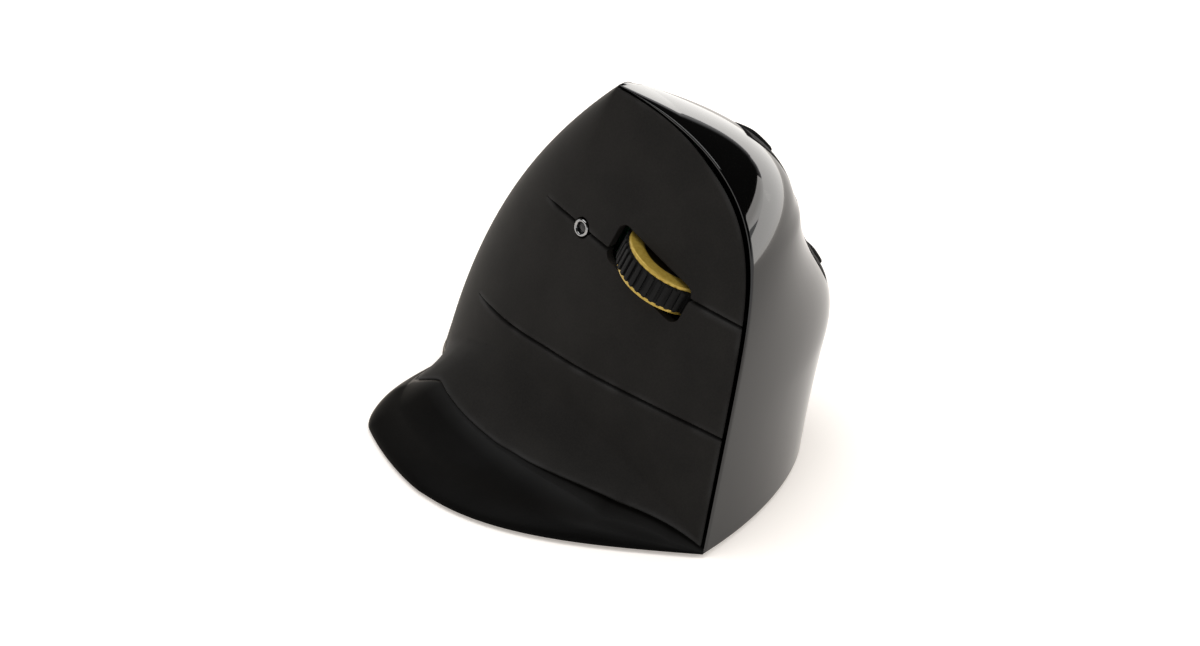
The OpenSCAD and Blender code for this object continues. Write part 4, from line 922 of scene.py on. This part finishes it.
# Ribs stand on a circle round the band and are rounded by subdivision
def ribTree():
    tree = bpy.data.node_groups.new("tyreRibs", "GeometryNodeTree")
    inputSocket(tree, "Band", "NodeSocketGeometry", None)
    for name, kind, value in (("Rib Count", "NodeSocketInt", 40), ("Circle Radius", "NodeSocketFloat", 0.011),
                              ("Rib Size", "NodeSocketVector", (0.001, 0.001, 0.005)),
                              ("Place", "NodeSocketVector", (0, 0, 0)), ("Turn", "NodeSocketVector", (0, 0, 0)),
                              ("Finish", "NodeSocketMaterial", None)):
        inputSocket(tree, name, kind, value)
    tree.interface.new_socket("Tyre", in_out="OUTPUT", socket_type="NodeSocketGeometry")
    add, join = tree.nodes.new, tree.links.new
    given, result = add("NodeGroupInput"), add("NodeGroupOutput")
    circle, cube = add("GeometryNodeMeshCircle"), add("GeometryNodeMeshCube")
    soften = add("GeometryNodeSubdivisionSurface")
    soften.inputs["Level"].default_value = wheel["ribLevel"]
    soften.inputs["Edge Crease"].default_value = wheel["ribCrease"]
    index, share, spin = add("GeometryNodeInputIndex"), add("ShaderNodeMath"), add("ShaderNodeCombineXYZ")
    share.operation = "DIVIDE"
    full = add("ShaderNodeMath")
    full.operation = "MULTIPLY"
    full.inputs[1].default_value = 2 * math.pi
    stand, place = add("GeometryNodeInstanceOnPoints"), add("GeometryNodeTransform")
    together, real = add("GeometryNodeJoinGeometry"), add("GeometryNodeRealizeInstances")
    paint = add("GeometryNodeSetMaterial")
    join(given.outputs["Rib Count"], circle.inputs["Vertices"])
    join(given.outputs["Circle Radius"], circle.inputs["Radius"])
    join(given.outputs["Rib Size"], cube.inputs["Size"])
    join(cube.outputs["Mesh"], soften.inputs["Mesh"])
    join(index.outputs[0], share.inputs[0])
    join(given.outputs["Rib Count"], share.inputs[1])
    join(share.outputs[0], full.inputs[0])
    join(full.outputs[0], spin.inputs["Z"])
    join(circle.outputs["Mesh"], stand.inputs["Points"])
    join(soften.outputs["Mesh"], stand.inputs["Instance"])
    join(spin.outputs[0], stand.inputs["Rotation"])
    join(stand.outputs[0], place.inputs["Geometry"])
    join(given.outputs["Place"], place.inputs["Translation"])
    join(given.outputs["Turn"], place.inputs["Rotation"])
    join(place.outputs[0], together.inputs[0])
    join(given.outputs["Band"], together.inputs[0])
    join(together.outputs[0], real.inputs[0])
    join(real.outputs[0], paint.inputs["Geometry"])
    join(given.outputs["Finish"], paint.inputs["Material"])
    join(paint.outputs[0], result.inputs[0])
    return tree


def growNodes(piece, tree, values):
    grow = piece.modifiers.new(tree.name, "NODES")
    grow.node_group = tree
    for item in tree.interface.items_tree:
        if item.item_type == "SOCKET" and item.in_out == "INPUT" and item.name in values:
            grow[item.identifier] = values[item.name]
    smoothMesh(bakeModifiers(piece), wheel["sharpAngle"])


def wheelTyre():
    half, r, edge = wheel["width"] / 2 - wheel["flangeWidth"], wheel["diameter"] / 2, wheel["edge"]
    floor = r - wheel["ribHeight"]
    band = [(wheel["hub"] / 2, -half), (floor - edge, -half)] + arcPoints(floor - edge, edge - half, edge, -75, 0, 5)
    band = band + [(x, -y) for x, y in band[::-1]]
    piece = lathe("wheelTyre", band, wheelFrame, tyreRubber)
    pitch = 2 * math.pi * floor / wheel["ribs"]
    sizes = (2 * wheel["ribHeight"] / 1000, pitch * wheel["ribShare"] / 1000, (2 * half - wheel["ribSet"]) / 1000)
    growNodes(piece, ribTree(), {"Rib Count": wheel["ribs"], "Circle Radius": floor / 1000, "Rib Size": sizes,
                                 "Place": [c / 1000 for c in wheelFrame.translation],
                                 "Turn": list(wheelFrame.to_euler()), "Finish": tyreRubber})
    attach(piece, "wheel")
    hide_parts("wheel_tyre")


wheelTyre()
print("wheel made")


def indicator():
    n, out, bore = lampSpot.x, lamp["outside"] / 2, lamp["bore"] / 2
    r = (out - bore) / 2
    ring = [(bore, n + lamp["proud"] - lamp["depth"]), (out, n + lamp["proud"] - lamp["depth"])]
    ring += arcPoints(out - r, n + lamp["proud"] - r, r, 0, 180, 14)
    made = lathe("indicatorRing", ring, lampFrame, chrome, 96)
    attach(made, "body")
    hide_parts("indicator_bezel")
    low = lampFrame.inverted() @ Vector(np.mean([v.co for v in nodes["indicator_lens"].data.vertices], 0) * 1000)
    edge, top = bore - lamp["play"], n - lamp["sunk"] - lamp["edge"]
    glass = [(0.0, 2 * low.z - n), (edge, 2 * low.z - n), (edge, top)]
    glass += [(edge * math.cos(t), top + lamp["crown"] * math.sin(t)) for t in np.linspace(0.15, math.pi / 2, 8)]
    lens = lathe("indicatorLens", glass, lampFrame, darkLens, 64)
    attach(lens, "body")
    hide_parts("indicator_lens")


indicator()

carried = {
    "base_plate": baseBlack, "glide_feet": glideGrey, "battery_door": baseBlack, "battery_cell": cellWrap,
    "battery_spring": steel, "battery_plate": steel, "power_switch_body": switchBlack,
    "power_switch_knob": knobRed, "main_board": boardGreen, "controller_chip": switchBlack,
    "motion_sensor": switchBlack, "sensor_lens": clearLens, "inner_frame": baseBlack, "finger_board": boardGreen,
    "finger_switches": switchBlack, "thumb_boards": boardGreen, "thumb_switches": switchBlack,
    "groove_trim": grooveShadeBlack, "wheel_axle": steel, "wheel_carrier": baseBlack, "wheel_encoder": switchBlack,
    "wheel_switch": switchBlack, "case_screws": steel, "board_screws": steel}
for name, finish in carried.items():
    nodes[name].data.materials.clear()
    nodes[name].data.materials.append(finish)
print("carried solids finished")


# Stage: white floor that keeps the shadow, a bright sweep under a dark ceiling, and the photograph's camera
stage = {"aim": (0.0009, 0.0022, 0.0285), "distance": 1.1, "lens": 160, "sensor": 36, "clip": (0.01, 100),
         "azimuth": 135, "elevation": 35,
         "floorSide": 6, "floorLow": -0.00005, "floorColour": grey(0.9, 0.03), "floorGlow": grey(1.0, 0.08),
         "floorLift": 0.32, "world": 0.55, "ceilingLow": 0.34, "ceilingHigh": 0.42, "ceiling": 0.012}
lamps = {"topLamp": {"place": (-0.05, -0.3, 1.1), "facing": (0.05, 0.3, -1.06), "roll": 0, "size": (0.9, 0.9),
                     "power": 6, "colour": (1, 1, 1)},
         "sideLamp": {"place": (-0.9, 0.14, 0.21), "facing": (1, 0, 0), "roll": 0, "size": (2.2, 0.42),
                      "power": 10.2, "colour": (1, 0.97, 0.93)},
         "cornerLamp": {"place": (-0.9, 0.66, 0.53), "facing": (1, 0, 0), "roll": -21, "size": (0.95, 0.26),
                        "power": 2.3, "colour": (1, 0.97, 0.93)}}


def makeCamera():
    a, e = math.radians(stage["azimuth"]), math.radians(stage["elevation"])
    back = Vector((math.sin(a) * math.cos(e), -math.cos(a) * math.cos(e), math.sin(e)))
    camera = bpy.data.objects.new("camera", bpy.data.cameras.new("camera"))
    camera.data.lens, camera.data.sensor_width = stage["lens"], stage["sensor"]
    camera.location = Vector(stage["aim"]) + back * stage["distance"]
    camera.rotation_euler = (-back).to_track_quat("-Z", "Y").to_euler()
    camera.data.clip_start, camera.data.clip_end = stage["clip"]
    scene.collection.objects.link(camera)
    scene.camera = camera


def seenRays(f):
    kinds = ("Is Camera Ray", "Is Glossy Ray", "Is Transmission Ray")
    return [f.node("ShaderNodeLightPath", out=kind) for kind in kinds]


def makeFloor():
    mesh = bpy.data.meshes.new("floor")
    side, low = stage["floorSide"], stage["floorLow"]  # just under the feet
    corners = [(x * side, y * side, low) for x, y in ((-1, -1), (1, -1), (1, 1), (-1, 1))]
    mesh.from_pydata(corners, [], [(0, 1, 2, 3)])
    floor = bpy.data.objects.new("floor", mesh)
    scene.collection.objects.link(floor)
    f = Finish(bpy.data.materials.new("paleFloor"))
    camera, glossy, through = seenRays(f)
    diffuse = f.node("ShaderNodeBsdfDiffuse", {}, {"Color": stage["floorColour"]})
    lift = (camera + glossy + through) * stage["floorLift"]
    glow = f.node("ShaderNodeEmission", {}, {"Color": stage["floorGlow"], "Strength": lift})
    both = f.node("ShaderNodeAddShader", {}, {0: diffuse, 1: glow})
    f.feed(f.tree.nodes["Material Output"].inputs["Surface"], both)
    mesh.materials.append(f.holder)


def makeLamp(name):
    values = lamps[name]
    light = bpy.data.lights.new(name, "AREA")
    light.shape, light.size, light.size_y, light.energy = "RECTANGLE", *values["size"], values["power"]
    light.color = values["colour"]
    made = bpy.data.objects.new(name, light)
    made.location = values["place"]
    upright = Vector(values["facing"]).to_track_quat("-Z", "Y").to_matrix().to_4x4()
    made.rotation_euler = (upright @ Matrix.Rotation(math.radians(values["roll"]), 4, "Z")).to_euler()
    made.visible_camera = False
    scene.collection.objects.link(made)


# The sky is white to the camera, and to reflections it is a white sweep with a dark ceiling above it
def makeWorld():
    world = bpy.data.worlds.new("studio")
    scene.world = world
    f = Finish(world)
    camera, glossy, through = seenRays(f)
    up = f.node("ShaderNodeSeparateXYZ", {}, {0: f.node("ShaderNodeTexCoord", {}, {}, "Generated")}, 2)
    ceiling = f.band(up, stage["ceilingLow"], stage["ceilingHigh"])
    mirrored = 1 - ceiling * (1 - stage["ceiling"])
    other = 1 - (camera + glossy + through)
    sky = f.tree.nodes["Background"]
    f.feed(sky.inputs["Color"], grey(1.0))
    f.feed(sky.inputs["Strength"], camera + through + glossy * mirrored + other * stage["world"])


makeCamera()
makeFloor()
makeWorld()
for name in lamps:
    makeLamp(name)
scene.view_settings.view_transform = "Standard"
print("stage set")
